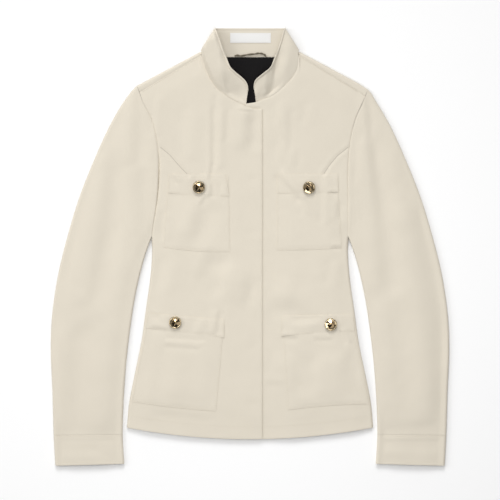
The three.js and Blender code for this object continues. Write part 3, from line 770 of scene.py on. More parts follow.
def woven_material(name, colour, pitch, bump, sheen, mottle=0.05, rough_shift=0.0, shine=0.25, darts=False):
    """Woven cloth with ribs of a pitch in millimetres."""
    def make(name):
        material, tree, shader = new_material(name)
        group = kept(bpy.data.node_groups, "Twill weave", weave_group)
        inputs = {"Colour": (*colour, 1), "Rib pitch": pitch * MM, "Mottle": mottle}
        weave = add_node(tree, "Group", inputs, node_tree=group)
        relief = {"Strength": bump, "Distance": 0.12 * MM, "Height": weave.outputs["Height"]}
        inputs = {
            "Base Color": weave.outputs["Colour"],
            "Normal": add_node(tree, "Bump", relief).outputs["Normal"],
            "Roughness": add_math(tree, "ADD", weave.outputs["Roughness"], rough_shift),
            "Sheen Weight": sheen,
            "Sheen Roughness": 0.5,
            "Specular IOR Level": shine,
        }
        for key, value in inputs.items():
            feed(tree, shader.inputs[key], value)
        if darts:
            # The darts get a line of painted shade, 0.9 mm half width and 34 % darker at its middle.
            draw_seam(tree, shader, 0.9, 0.34)
        return material

    return kept(bpy.data.materials, name, make)


def cloth_material(darts=False):
    name = "Ecru twill with darts" if darts else "Ecru twill"
    return woven_material(name, settings().cloth_colour, 0.7, 0.35, 0.12, darts=darts)


def thread_material(name):
    material, tree, shader = new_material(name)
    place = add_node(tree, "TexCoord", {})
    twist = add_node(tree, "TexWave", {"Scale": 1400, "Vector": place.outputs["Object"]})
    light = (*settings().cloth_colour, 1)
    dark = (*[c * 0.93 for c in settings().cloth_colour], 1)
    feed(tree, shader.inputs["Base Color"], add_mix(tree, twist.outputs["Fac"], dark, light))
    shader.inputs["Roughness"].default_value = 0.5
    return material


def brass_material(name):
    """Metal with a little tarnish, and a painted reflection: dark patches and painted highlights that change
    with the direction each facet faces, as a view from straight above would see them mirrored.
    """
    material, tree, shader = new_material(name)
    place = add_node(tree, "TexCoord", {})
    tarnish = add_node(tree, "TexNoise", {"Scale": 190, "Detail": 1, "Vector": place.outputs["Object"]})
    # Painted reflection: the view from straight above, mirrored off each facet's normal, picks a noise value,
    # so some facets get a painted dark reflection and others a painted highlight.
    facing = add_node(tree, "NewGeometry", {}).outputs["Normal"]
    turned = add_node(tree, "VectorMath", {0: (0, 0, -1), 1: facing}, operation="REFLECT").outputs[0]
    change = {"Scale": settings().reflection_scale, "Detail": 0, "Vector": turned}
    painted_reflection = add_node(tree, "ValToRGB", {"Fac": add_node(tree, "TexNoise", change).outputs["Fac"]})
    stops = painted_reflection.color_ramp.elements
    stops.new(0.5)
    # Stops of the painted reflection: nearly black, brass, and a painted highlight brighter than the brass.
    for stop, position, share in zip(stops, (0.44, 0.51, 0.57), (0.04, 0.5, 1.45)):
        stop.position = position
        stop.color = (*[c * share for c in settings().brass_colour], 1)
    dome = add_node(tree, "Attribute", {}, attribute_name="dome")
    rim = (*[c * 0.5 for c in settings().rim_colour], 1)
    colour = add_mix(tree, dome.outputs["Fac"], rim, painted_reflection.outputs["Color"])
    worn = add_math(tree, "ADD", add_math(tree, "MULTIPLY", tarnish.outputs["Fac"], 0.12), 0.04)
    feed(tree, shader.inputs["Base Color"], colour)
    feed(tree, shader.inputs["Roughness"], worn)
    shader.inputs["Metallic"].default_value = 1
    return material


# Stitches

def stitch_piece(name, rows, lift=0.12):
    """Rows of raised stitches: each row is a list of points on the cloth's upper side."""
    bm = bmesh.new()
    length, radius = settings().stitch_m, 0.21 * MM
    gap = length * 0.28
    for row in rows:
        dists = [0]
        for a, b in zip(row, row[1:]):
            dists.append(dists[-1] + (b - a).length)
        at = 0
        k = 0
        while at + length < dists[-1]:
            ends = []
            for d in (at + gap / 2, at + length - gap / 2):
                while k < len(dists) - 2 and dists[k + 1] < d:
                    k += 1
                span = dists[k + 1] - dists[k] or 1e-9
                ends.append(row[k].lerp(row[k + 1], (d - dists[k]) / span))
            middle, run = (ends[0] + ends[1]) / 2, ends[1] - ends[0]
            turn = run.to_track_quat("X", "Z")
            for v in bmesh.ops.create_icosphere(bm, subdivisions=1, radius=1)["verts"]:
                v.co = middle + turn @ Vector((v.co.x * run.length / 2, v.co.y * radius, v.co.z * radius))
                v.co.z += lift * MM
            at += length
    for face in bm.faces:
        face.smooth = True
    thread = kept(bpy.data.materials, "Sewing thread", thread_material)
    sew_on(new_object(bm, name), thread)


def sampled_on(place, ends, wall, count):
    """Points on top of the cloth from one pair of place's coordinates to another."""
    (a0, b0), (a1, b1) = ends
    lift = Vector((0, 0, wall * MM / 2))
    return [place(lerp(a0, a1, k / count), lerp(b0, b1, k / count)) + lift for k in range(count + 1)]


# Pieces

FRONT_WIDTH, FRONT_LENGTH = 176, 613
# The parts of a front's outer edge above the armhole's narrowest place, and above the underarm
NECK_PART, ARM_PART = 0.2, 0.4
NARROW_DOWN = 215


def front_place(side):
    """The place function of a front: v runs down its outer edge past the neckline and the armhole."""
    sign = SIGN[side]
    neck = neckline(side)
    corner = CORNERS[side][-1]
    end_x, end_down = shoulder_end(side, wrap_at(TIP[side]) + GAP / SHOULDER_SQUARE)

    def outer_down(v):
        if v < NECK_PART:
            return lerp(end_down, NARROW_DOWN, v / NECK_PART)
        if v < ARM_PART:
            return lerp(NARROW_DOWN, UNDERARM, (v - NECK_PART) / (ARM_PART - NECK_PART))
        return lerp(UNDERARM, HEM_CORNER, (v - ARM_PART) / (1 - ARM_PART))

    def place(u, v):
        down_out = outer_down(v)
        x_out = sign * body_edge(down_out, side)
        start = along_curve(neck, clamp(v / NECK_PART) * (len(neck) - 1))
        x = lerp(start.x, x_out, u)
        if v <= NECK_PART:
            droop = (tip_droop(x) - u * tip_droop(end_x)) * (1 - v / NECK_PART)
            down = lerp(start.y, down_out, u) + droop
        else:
            hem = hem_at(x)
            below, low = clamp((v - NECK_PART) / (1 - NECK_PART)), clamp((v - ARM_PART) / (1 - ARM_PART))
            down = lerp(lerp(corner[1], hem, below), down_out + (hem - HEM_CORNER) * low, u)
        height = front_height(x, down, side)
        if abs(x) > SHOULDER_X - 2:
            height += seam_dip((down - fold_down(x) - wrap_at(x)) * SHOULDER_SQUARE, 0.6, 1.8)
        if v < NECK_PART:
            height += seam_dip(u * abs(x_out - start.x), 0.5, 1.8)
        return spot(x, down, height)

    return place


DART_FADE = 12


def dart_distance(x, down, side):
    """Signed distance from the dart's line, far off past its ends."""
    off, along = line_offset(x, down, DARTS[side])
    past = DART_FADE if along in (0, 1) else 0
    return off + math.copysign(past, off)


class JACKET_OT_fronts(bpy.types.Operator):
    """Cut and sew both fronts; the wearer's right one laps over the left one"""
    bl_idname = "jacket.fronts"
    bl_label = "Fronts"

    def execute(self, context):
        across = parts(FRONT_WIDTH, 2, FINE_EDGE, FOLD_EDGE)
        along = parts(FRONT_LENGTH, 2.1, FINE_EDGE, (0, 1.5, 3))
        for side, below in (("right", "cloth_front_left"), ("left", "cloth_back")):
            sew_cloth(f"front_{side}", front_place(side), across, along, wall_mm(), [below], darts=True,
                      seam=lambda x, down, side=side: dart_distance(x, down, side))
        return {"FINISHED"}


HALF_BACK = 157
# Rows of the back's grid along its shoulders, its armholes and its sides
BACK_ROWS = (24, 50, 70)
# How far the rows of the back's shoulders go down behind the fold
BACK_LOWER = 12 / SHOULDER_SQUARE


def back_x(u, edge):
    """Keeps the back's grid lines near the neck point and near the folds at fixed distances."""
    near, knee, knee_x = FOLD_EDGE[-1], 0.55, 86
    size = abs(u)
    if size > 1 - near / HALF_BACK:
        return math.copysign(edge - (1 - size) * HALF_BACK, u)
    if size < knee:
        return math.copysign(size / knee * knee_x, u)
    part = (size - knee) / (1 - near / HALF_BACK - knee)
    return math.copysign(lerp(knee_x, edge - near, part), u)


def below_fold(part, top):
    """How far below the shoulder's fold a row lies, before it and then behind it."""
    if part < 0.5:
        return top * (1 - part / 0.5) ** 1.6
    return BACK_LOWER * ((part - 0.5) / 0.5) ** 1.6


def back_shoulder(x, part):
    """Down and height of a point of the back's shoulders."""
    shoulder = smooth((abs(x) - SHOULDER_X + 7) / 5)
    neck = read(BACK_NECK, "x", min(abs(x), SHOULDER_X), "down") + part * 6
    top = wrap_at(x)
    below = below_fold(part, top)
    down = lerp(neck, fold_down(x) + below, shoulder)
    distance = max(0, below * SHOULDER_SQUARE)
    high = low_height(distance)
    if part < 0.5:
        high = top_height(distance, x, down) + seam_dip((top - below) * SHOULDER_SQUARE, 0.6, 1.8)
    return down, lerp(low_height(40), high, shoulder)


def back_place(u, v):
    """Rows 0 to 1 are the shoulders, 1 to 2 the armholes, 2 to 3 the sides."""
    side = "right" if u < 0 else "left"
    if v <= 1:
        x = back_x(u, shoulder_end(side, below_fold(v, wrap_at(TIP[side])))[0])
        return spot(x, *back_shoulder(x, v))
    x_top, start = shoulder_end(side, BACK_LOWER)
    if v <= 2:
        x = back_x(u, body_edge(lerp(start, UNDERARM, v - 1), side))
        down = lerp(back_shoulder(back_x(u, x_top), 1)[0], UNDERARM, v - 1)
    else:
        edge_down = lerp(UNDERARM, HEM_CORNER, v - 2)
        x = back_x(u, side_half(edge_down))
        down = edge_down + (hem_at(x) - HEM_CORNER) * (v - 2)
    distance = body_fold(x, down) if abs(x) > 120 else 40
    return spot(x, down, low_height(distance, x, down))


class JACKET_OT_back(bpy.types.Operator):
    """Cut the back, which turns over the shoulders to the seams in front of them"""
    bl_idname = "jacket.back"
    bl_label = "Back"

    def execute(self, context):
        half = spaced(1, 0.03, (0,), [d / HALF_BACK for d in FOLD_EDGE])
        across = [-u for u in reversed(half[1:])] + half
        rows = [0]
        for start, steps in enumerate(BACK_ROWS):
            rows += [start + k / steps for k in range(1, steps + 1)]
        sew_cloth("back", back_place, across, rows, wall_mm(), ["floor"])
        return {"FINISHED"}


def sleeve_plan(side):
    """plan(row, q): a point of the sleeve, q from its outer edge to its inner edge, and its width."""
    inset = wall_mm() / 2
    tip_down = fold_down(SIGN[side] * TIP[side])
    tip = Vector((armhole_x(tip_down, side), tip_down))
    before_tip = tip - Vector((30, 30 * SHOULDER_SLOPE))
    outer = [before_tip, tip] + [Vector((r["out_x"] - inset, r["out"])) for r in SLEEVE[1:]]
    inner = [Vector((r["in_x"] + inset, r["in"])) for r in SLEEVE]
    bends = [r["bend"] for r in SLEEVE]

    def plan(row, q):
        a, b = along_curve(outer, row + 1), along_curve(inner, row)
        at = a.lerp(b, q)
        down = lerp(tip.y, UNDERARM, q)
        on_armhole = lerp(armhole_x(down, side), inner[0].x, near_underarm(down))
        x = at.x + (on_armhole - lerp(tip.x, inner[0].x, q)) * between(bends, row)
        return SIGN[side] * x, at.y, (b - a).length

    return plan


def sleeve_top(distance, x, down):
    return top_height(distance, x, down) + 0.6 * smooth(distance / 45)


def cuff_settle(to_cuff):
    """The cloth flattens towards the cuff."""
    return -1.6 * smooth(1 - to_cuff / 70)


# Length of cloth between the first two rows of a sleeve, between the last two above the cuff, and on average
FIRST_ROW, LAST_ROW, MEAN_ROW = 22, 60, 55
SLEEVE_WIDTH = 150


def sleeve_piece(side, upper):
    plan = sleeve_plan(side)

    def place(q, row):
        x, down, width = plan(row, q)
        distance = min(q, 1 - q) * width
        if not upper:
            return spot(x, down, low_height(distance, x, down))
        from_armhole, to_cuff = row * FIRST_ROW, (CUFF_ROW - row) * LAST_ROW
        arm_down = lerp(fold_down(SIGN[side] * TIP[side]), UNDERARM, q)
        shape = seam_dip(from_armhole, armhole_depth(arm_down, side), 1.5)
        shape += 0.2 * hump(from_armhole, 12, 9)
        shape += pucker(from_armhole, arm_down, 0.35)
        shape += cuff_settle(to_cuff) + seam_dip(to_cuff, 0.15, 1.5) + pucker(to_cuff, x, 0.15)
        return spot(x, down, sleeve_top(distance, x, down) + shape * smooth(distance / 12))

    across = parts(SLEEVE_WIDTH, 2.6, FOLD_EDGE, FOLD_EDGE)
    if side == "right":
        across.reverse()
    near_armhole = [0, 0.025, 0.06, 0.11, 0.18, 0.27]
    near_cuff = [CUFF_ROW - 0.002 - d / LAST_ROW for d in reversed(FINE_EDGE[:-1])]
    steps = 150
    middle = [lerp(near_armhole[-1], near_cuff[0], k / steps) for k in range(1, steps)]
    rows = near_armhole + middle + near_cuff
    name, below = ("top_sleeve", f"cloth_under_sleeve_{side}") if upper else ("under_sleeve", "floor")
    sew_cloth(f"{name}_{side}", place, across, rows, wall_mm(), [below],
              grain=lambda q, row: (q * SLEEVE_WIDTH * MM, row * MEAN_ROW * MM))


class JACKET_OT_sleeves(bpy.types.Operator):
    """Cut the top and under sleeves of both sides"""
    bl_idname = "jacket.sleeves"
    bl_label = "Sleeves"

    def execute(self, context):
        for side in SIDES:
            for upper in (True, False):
                sleeve_piece(side, upper)
        return {"FINISHED"}


CUFF_WIDTH, CUFF_LENGTH = 112, 48.5


def cuff_piece(side):
    """One flattened tube, round which turn runs from 0 to 2."""
    plan = sleeve_plan(side)

    def place(turn, t):
        upper = turn > 1
        q = 2 - turn if upper else turn
        x, down, width = plan(lerp(CUFF_ROW + 0.003, CUFF_ROW + 1, t), q)
        distance = min(q, 1 - q) * width
        apart = GAP / 2 * (1 - smooth(distance / 3))
        if not upper:
            return spot(x, down, low_height(distance) + apart)
        shape = cuff_settle(0) + seam_dip(t * CUFF_LENGTH, 0.15, 1.5)
        shape += 0.3 * hump((1 - t) * CUFF_LENGTH, 3, 3)
        return spot(x, down, sleeve_top(distance, x, down) - apart + shape * smooth(distance / 12))

    half = parts(CUFF_WIDTH, 2.4, FOLD_EDGE, FOLD_EDGE)
    turns = half + [2 - q for q in reversed(half[:-1])]
    if side == "left":
        turns.reverse()
    rows = parts(CUFF_LENGTH, 2, FINE_EDGE, FINE_EDGE)
    piece = cloth_mesh(f"cloth_cuff_{side}", place, turns, rows, wall_mm(),
                       lambda turn, t: (turn * CUFF_WIDTH * MM, t * CUFF_LENGTH * MM))
    bm = bmesh.new()
    bm.from_mesh(piece.data)
    bmesh.ops.remove_doubles(bm, verts=bm.verts, dist=0.02 * MM)
    bm.to_mesh(piece.data)
    bm.free()
    sew_on(piece, cloth_material(), [f"cuff_{side}"])
    lines = [sampled_on(place, ((1.03, t), (1.97, t)), wall_mm(), 60)
             for t in (1 - 7 / CUFF_LENGTH, 2 / CUFF_LENGTH)]
    stitch_piece(f"stitches_cuff_{side}", lines)


class JACKET_OT_cuffs(bpy.types.Operator):
    """Sew both cuffs, each a flattened tube, with their stitches"""
    bl_idname = "jacket.cuffs"
    bl_label = "Cuffs"

    def execute(self, context):
        for side in SIDES:
            cuff_piece(side)
        return {"FINISHED"}


# The ridge on the wearer's right, inside which the collar leans down into the neck
RIDGE_LINE = [(-60, 6), (-51, 34), (-46, 74), (-39, 104)]
RIDGE_RISE, RIDGE_OUTER, RIDGE_INNER, RIDGE_STEP = 12.5, 78, 40, 6.5
# The valley on the wearer's left, where the collar is creased
VALLEY_LINE = [(46, 30), (40, 50), (37, 70), (35, 92), (33, 112)]
VALLEY_DEPTH, VALLEY_OUTER, VALLEY_INNER = 3.6, 22, 13
# Low swellings and a hollow beside the slit: where, their radius and height
COLLAR_SWELLS = [(25, 104, 9, 1.3), (-36, 66, 26, 2.2), (-13, 104, 26, -2.4)]
COLLAR_WALL = 2.2
COLLAR_HEIGHT = 42
# Length of cloth between two of the collar's stations, about
COLLAR_STATION = 11.5
# The stitches stop at the folds, this many stations from each front end
FOLD_STATION = 10


def collar_ridge(x, down, s):
    """The ridge falls away slowly outwards and in a step inwards, to a hollow below the collar's edge."""
    off, along = line_offset(x, down, RIDGE_LINE)
    strength = smooth(along * 3 + 0.5) * (1 - along) ** 0.75
    if off > 0:
        shape = 1 - off / RIDGE_OUTER
    else:
        shape = 0.6 * smooth(1 + off / RIDGE_STEP / (1 + smooth((along - 0.1) / 0.3)))
        shape += 0.4 * max(0, 1 + off / RIDGE_INNER)
    hollow = lerp(-1.5, 1.5, smooth((s - 0.3) / 0.6)) * smooth(-off / 6) * smooth((along - 0.42) / 0.25)
    return RIDGE_RISE * strength * shape + hollow


def collar_valley(x, down, s):
    """The crease, and the lean of the cloth inside it up to the collar's edge."""
    off, along = line_offset(x, down, VALLEY_LINE)
    reach = VALLEY_INNER if off > 0 else VALLEY_OUTER
    strength = smooth(along * 3 + 0.2)
    dip = VALLEY_DEPTH * smooth(1 - abs(off) / reach)
    lean = lerp(-1.5, 5, s) * smooth(off / 7 + 0.5)
    return (lean - dip) * strength


def collar_stations():
    """Base and top points from the left front end round the back to the right one."""
    left = [(1, r) for r in reversed(COLLAR_BACK[1:] + COLLAR_FRONT["left"])]
    right = [(-1, r) for r in COLLAR_BACK + COLLAR_FRONT["right"]]
    return [[Vector((sign * row[k][0], *row[k][1:])) for sign, row in left + right] for k in (0, 1)]


def collar_place(t, s):
    bases, tops = collar_stations()
    a, b = along_curve(bases, t), along_curve(tops, t)
    at = a.lerp(b, s)
    in_front = smooth((a.z - CREST) / 4)
    at.z += 1.8 * in_front * math.sin(math.pi * s) ** 2
    near_end = smooth(min(t, len(bases) - 1 - t) / 3.2)
    shape = collar_ridge(at.x, at.y, s) if at.x < 0 else collar_valley(at.x, at.y, s)
    at.z += shape * in_front * smooth(s * 5) * near_end
    for x, down, radius, height in COLLAR_SWELLS:
        at.z += height * smooth(1 - math.hypot(at.x - x, at.y - down) / radius) * smooth(s * 4)
    from_edge = (1 - s) * COLLAR_HEIGHT
    at.z += seam_dip(s * 40, 0.5 * in_front, 1.8) + seam_dip(from_edge - 3, 0.4, 1.0)
    at.z += 1.5 * hump(from_edge, 0.6, 1.4) * in_front
    return spot(at.x, at.y, at.z)


class JACKET_OT_collar(bpy.types.Operator):
    """Sew the stand collar, folded flat at both sides, with its edge stitching"""
    bl_idname = "jacket.collar"
    bl_label = "Collar"

    def execute(self, context):
        last = len(collar_stations()[0]) - 1
        steps = 12
        across = [k / steps for k in range(last * steps + 1)]
        along = parts(COLLAR_HEIGHT, 1.2, FINE_EDGE, (0, 0.5, 1.1, 1.7, 2.3, 3))
        sew_cloth("collar", collar_place, across, along, COLLAR_WALL, ["cloth_back", "cloth_front_left"],
                  grain=lambda t, s: (t * COLLAR_STATION * MM, s * COLLAR_HEIGHT * MM))
        per_station = 6
        edge = sampled_on(collar_place, ((0, 0.945), (last, 0.945)), COLLAR_WALL, last * per_station)
        fold_low, fold_high = FOLD_STATION * per_station, (last - FOLD_STATION) * per_station
        rows = [edge[:fold_low - 3], edge[fold_low + 18:fold_high - 18], edge[fold_high + 3:]]
        for t in (0.22, last - 0.22):
            rows.append(sampled_on(collar_place, ((t, 0.06), (t, 0.94)), COLLAR_WALL, 20))
        stitch_piece("stitches_collar", rows)
        return {"FINISHED"}


POCKET_WALL = 0.45
FLAP_WALL = 0.5
# How far inside an edge its stitches run
STITCH_INSET = 1.8


def patch_spot(name, side, u, v):
    """Plan of a patch: u from the inner to the outer edge, v from its top to its lower edge."""
    (ix0, id0), (ix1, id1), (ox0, od0), (ox1, od1), sag = PATCHES[name]
    outer_down = lerp(od0, od1, v)
    if ox0 is None:
        outer_x = SIGN[side] * (side_half(outer_down) - SIDE_INSET)
    else:
        outer_x = lerp(ox0, ox1, v)
    x = lerp(lerp(ix0, ix1, v), outer_x, u)
    down = lerp(lerp(id0, id1, v), outer_down, u) + sag * 4 * u * (1 - u) * v
    return x, down


def patch_size(name, side):
    a, b, c, d = [patch_spot(name, side, u, v) for u, v in ((0, 0.5), (1, 0.5), (0.5, 0), (0.5, 1))]
    return math.dist(a, b), math.dist(c, d)


def pocket_place(name, side):
    width, height = patch_size(name, side)
    base = wall_mm() / 2 + 0.05 + POCKET_WALL / 2

    def place(u, v):
        x, down = patch_spot(name, side, u, v)
        beside, below = min(u, 1 - u) * width, (1 - v) * height
        edge = min(beside, below)
        above = base + 0.5 * smooth(below / 9) * smooth(beside / 30)
        above += seam_dip(edge - STITCH_INSET, 0.12, 0.9) + pucker(edge, u * width + v * height, 0.2)
        return spot(x, down, front_height(x, down, side) + above)

    return place


def flap_place(name, side):
    width, height = patch_size(name, side)
    low = wall_mm() / 2 + 0.1 + FLAP_WALL / 2
    high = low + POCKET_WALL + 0.12

    def place(u, v):
        x, down = patch_spot(name, side, u, v)
        from_top = v * height
        above = lerp(low, high, smooth(from_top / 7))
        edge = min(u * width, (1 - u) * width, (1 - v) * height)
        above += 0.4 * math.sin(math.pi * u) * math.sin(math.pi * v)
        above += seam_dip(edge - STITCH_INSET, 0.14, 0.9) + seam_dip(from_top - 5, 0.16, 0.9)
        above += 0.3 * noise.noise(Vector((x / 18, down / 24, 2.2))) * smooth(from_top / 8)
        return spot(x, down, front_height(x, down, side) + above)

    return place


def sew_patches(kind, place_of, wall, rests_on):
    """The pockets or the flaps, each with stitches inside its edges; a flap has a row at its top too."""
    for part in ("chest", "hip"):
        for side in SIDES:
            name = f"{part}_{kind}_{side}"
            place = place_of(name, side)
            width, height = patch_size(name, side)
            across, along = [parts(size, 2, FINE_EDGE, FINE_EDGE) for size in (width, height)]
            if side == "right":
                # The grid runs towards +X, so that the cloth's upper side faces up
                across.reverse()
            sew_cloth(name, place, across, along, wall, [rests_on.format(part=part, side=side)])
            du, dv, top = STITCH_INSET / width, STITCH_INSET / height, 5 / height
            corners = [(du, dv), (du, 1 - dv), (1 - du, 1 - dv), (1 - du, dv)]
            ends = list(zip(corners, corners[1:]))
            if kind == "flap":
                ends.append(((du, top), (1 - du, top)))
            stitch_piece(f"stitches_{name}", [sampled_on(place, pair, wall, 50) for pair in ends])


class JACKET_OT_pockets(bpy.types.Operator):
    """Sew the four patch pockets on the fronts"""
    bl_idname = "jacket.pockets"
    bl_label = "Pockets"

    def execute(self, context):
        sew_patches("pocket", pocket_place, POCKET_WALL, "cloth_front_{side}")
        return {"FINISHED"}


class JACKET_OT_flaps(bpy.types.Operator):
    """Sew the flap of each pocket"""
    bl_idname = "jacket.flaps"
    bl_label = "Flaps"

    def execute(self, context):
        sew_patches("flap", flap_place, FLAP_WALL, "cloth_{part}_pocket_{side}")
        return {"FINISHED"}


# How far above the hem its stitches run
HEM_STITCHES = 20


class JACKET_OT_body_stitches(bpy.types.Operator):
    """Sew the rows of stitches along the shoulders, the front edge and the hem"""
    bl_idname = "jacket.body_stitches"
    bl_label = "Body stitches"

    def execute(self, context):
        lift = Vector((0, 0, settings().wall_m / 2))

        def on_front(side, x, down):
            return spot(x, down, front_height(x, down, side)) + lift

        rows = []
        for side, sign, edge in (("right", -1, FRONT_EDGE - STITCH_INSET), ("left", 1, FRONT_EDGE + 2)):
            shoulder = [sign * x for x in range(82, 176, 2)]
            rows.append([on_front(side, x, fold_down(x) + wrap_at(x) + STITCH_INSET) for x in shoulder])
            steps = [lerp(edge, sign * (side_half(HEM_CORNER) - 6), k / 60) for k in range(61)]
            rows.append([on_front(side, x, hem_at(x) - HEM_STITCHES) for x in steps])
        rows.append([on_front("right", FRONT_EDGE - STITCH_INSET, down) for down in range(132, 655, 3)])
        stitch_piece("stitches_body", rows)
        return {"FINISHED"}


LINING_WALL, LABEL_WALL = 0.8, 0.5


def lining_place(u, v):
    half = lerp(44, 15, smooth(v))
    x, down = lerp(-half, half, u), lerp(46.4, 123, v)
    wave = 0.35 * noise.noise(Vector((x / 16, down / 22, 5.3))) * smooth(min(v, 1 - v) * 6)
    return spot(x, down, 2.55 + wave)


def label_place(u, v):
    x = LABEL["x"] + (u - 0.5) * LABEL["width"]
    down = LABEL["down"] + (v - 0.5) * LABEL["height"]
    sag = 0.35 * math.sin(math.pi * u) * math.sin(math.pi * v)
    return spot(x, down, COLLAR_WALL + 0.45 + sag)


class JACKET_OT_neck_inside(bpy.types.Operator):
    """Make the lining, the bare label and the hanger loop inside the neck"""
    bl_idname = "jacket.neck_inside"
    bl_label = "Neck inside"

    def execute(self, context):
        colours = settings()
        steps = [k / 44 for k in range(45)]
        lining = cloth_mesh("neck_lining_cloth", lining_place, steps, steps, LINING_WALL)
        cloth = woven_material("Black lining", colours.lining_colour, 0.3, 0.12, 0.0, 0.2, -0.2, 0.08)
        sew_on(lining, cloth, ["neck_lining"])
        near = (0, 0.4, 0.9, 1.5)
        across, along = parts(LABEL["width"], 1.5, near, near), parts(LABEL["height"], 1, near[:3], near[:3])
        label = cloth_mesh("neck_label_tape", label_place, across, along, LABEL_WALL)
        tape = woven_material("White tape", colours.label_colour, 0.4, 0.25, 0.1, 0.02, -0.2)
        sew_on(label, tape, ["neck_label"])
        rows = [sampled_on(label_place, ((u, 0.08), (u, 0.92)), LABEL_WALL, 10) for u in (0.02, 0.98)]
        rows += [sampled_on(label_place, ((0.02, v), (0.98, v)), LABEL_WALL, 20) for v in (0.08, 0.92)]
        stitch_piece("stitches_label", rows, 0.02)
        cord = woven_material("Satin cord", colours.cord_colour, 1.1, 0.9, 0.2, 0.15, -0.25)
        sew_on(self.loop(), cord, ["hanger_loop"])
        return {"FINISHED"}

    def loop(self):
        """A soft cord of two twisted strands."""
        knots = [spot(*p) for p in LOOP_POINTS]
        bm = bmesh.new()
        uv = bm.loops.layers.uv.new("cut")
        steps, radius, strand = 110, 0.82 * MM, 0.72 * MM
        for phase in (0, math.pi):
            before = None
            for k in range(steps + 1):
                at = k / steps * (len(knots) - 1)
                run = (along_curve(knots, at + 0.02) - along_curve(knots, at - 0.02)).normalized()
                turn = run.to_track_quat("Z", "Y")
                angle = phase + k * 0.2
                aside = turn @ Vector((math.cos(angle), math.sin(angle), 0)) * strand
                place = Matrix.Translation(along_curve(knots, at) + aside) @ turn.to_matrix().to_4x4()
                ring = bmesh.ops.create_circle(bm, cap_ends=k in (0, steps), radius=radius, segments=10,
                                               matrix=place)["verts"]
                edges = edges_at(ring)
                if before:
                    bmesh.ops.bridge_loops(bm, edges=before + edges)
                before = edges
        for face in bm.faces:
            face.smooth = True
            for loop in face.loops:
                loop[uv].uv = (loop.vert.co.x, loop.vert.co.y)
        bmesh.ops.recalc_face_normals(bm, faces=bm.faces)
        return new_object(bm, "hanger_loop_cord")


# A button's turned plate, from its middle to its rim, as radius and height
PLATE = [(0.01, 0), (2.6, 0), (2.6, 1.3), (8.4, 1.5), (9.4, 1.8), (9.9, 2.5), (9.9, 3.1), (9.5, 3.7),
         (9.0, 3.9), (8.6, 3.7)]
# Its crown's rings: radius, height and turn; and the top
CROWN = [(8.7, 3.65, 0), (6.6, 4.9, 30), (2.6, 6.9, 12)]
PEAK = (0.4, 0.3, 7.2)
CROWN_SIDES = 6
FACET_AREA = 3 * MM ** 2


def extrude_ring(bm, edges):
    """Extrudes a ring of edges: its new vertices, edges and faces."""
    new = bmesh.ops.extrude_edge_only(bm, edges=edges)["geom"]
    kinds = (bmesh.types.BMVert, bmesh.types.BMEdge, bmesh.types.BMFace)
    return [[part for part in new if isinstance(part, kind)] for kind in kinds]


def crown_faces(bm):
    """A dome of flat facets, which turn from ring to ring."""
    verts = bmesh.ops.create_circle(bm, segments=CROWN_SIDES, radius=MM)["verts"]
    edges = edges_at(verts)
    faces = []
    for k, (radius, z, turn) in enumerate(CROWN):
        if k:
            verts, edges, raised = extrude_ring(bm, edges)
            faces += raised
        for i, v in enumerate(verts):
            angle = math.radians(turn) + 2 * math.pi * i / CROWN_SIDES
            v.co = Vector((radius * math.cos(angle), radius * math.sin(angle), z)) * MM
    verts, _, raised = extrude_ring(bm, edges)
    bmesh.ops.pointmerge(bm, verts=verts, merge_co=Vector(PEAK) * MM)
    faces = [face for face in faces + raised if face.is_valid]
    return bmesh.ops.triangulate(bm, faces=faces, quad_method="SHORT_EDGE")["faces"]


def flap_height(name, side, x, down):
    """Height of a flap's middle surface under a button."""
    place = flap_place(name, side)
    spots = [place(i / 40, j / 20) for i in range(41) for j in range(21)]
    return min(spots, key=lambda at: math.hypot(at.x / MM - x, TOP - at.y / MM - down)).z / MM


class JACKET_OT_buttons(bpy.types.Operator):
    """Turn and cut the four domed metal buttons"""
    bl_idname = "jacket.buttons"
    bl_label = "Buttons"

    def execute(self, context):
        for name, turn in BUTTONS.items():
            self.button(name, turn)
        return {"FINISHED"}

    def button(self, name, turn):
        low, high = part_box(name)
        part, side = name.split("_")[1:]
        x, y = (low.x + high.x) / 2, (low.y + high.y) / 2
        surface = flap_height(f"{part}_flap_{side}", side, x / MM, TOP - y / MM) + FLAP_WALL / 2 + 0.2
        bm = bmesh.new()
        points = [bm.verts.new(Vector((r, 0, z)) * MM) for r, z in PLATE]
        edges = [bm.edges.new(pair) for pair in zip(points, points[1:])]
        bmesh.ops.spin(bm, geom=points + edges, cent=(0, 0, 0), axis=(0, 0, 1), angle=2 * math.pi,
                       steps=48, use_merge=True)
        bmesh.ops.remove_doubles(bm, verts=bm.verts, dist=0.001 * MM)
        crown = crown_faces(bm)
        crown_edges = dict.fromkeys(edge for face in crown for edge in face.edges)
        ridges = [edge for edge in crown_edges if len(edge.link_faces) == 2]
        bmesh.ops.bevel(bm, geom=ridges, offset=0.28 * MM, segments=2, profile=0.5, affect="EDGES", material=-1)
        dome = bm.verts.layers.float.new("dome")
        for face in bm.faces:
            face.smooth = face.calc_area() < FACET_AREA
        for v in bm.verts:
            v[dome] = 1.0 if math.hypot(v.co.x, v.co.y) < 8.65 * MM and v.co.z > 3.5 * MM else 0.0
        bmesh.ops.recalc_face_normals(bm, faces=bm.faces)
        place = Matrix.Translation((x, y, surface * MM)) @ Matrix.Rotation(math.radians(turn), 4, "Z")
        bmesh.ops.transform(bm, matrix=place, verts=bm.verts)
        brass = kept(bpy.data.materials, "Antique gold", brass_material)
        sew_on(new_object(bm, f"{name}_metal"), brass, [name])


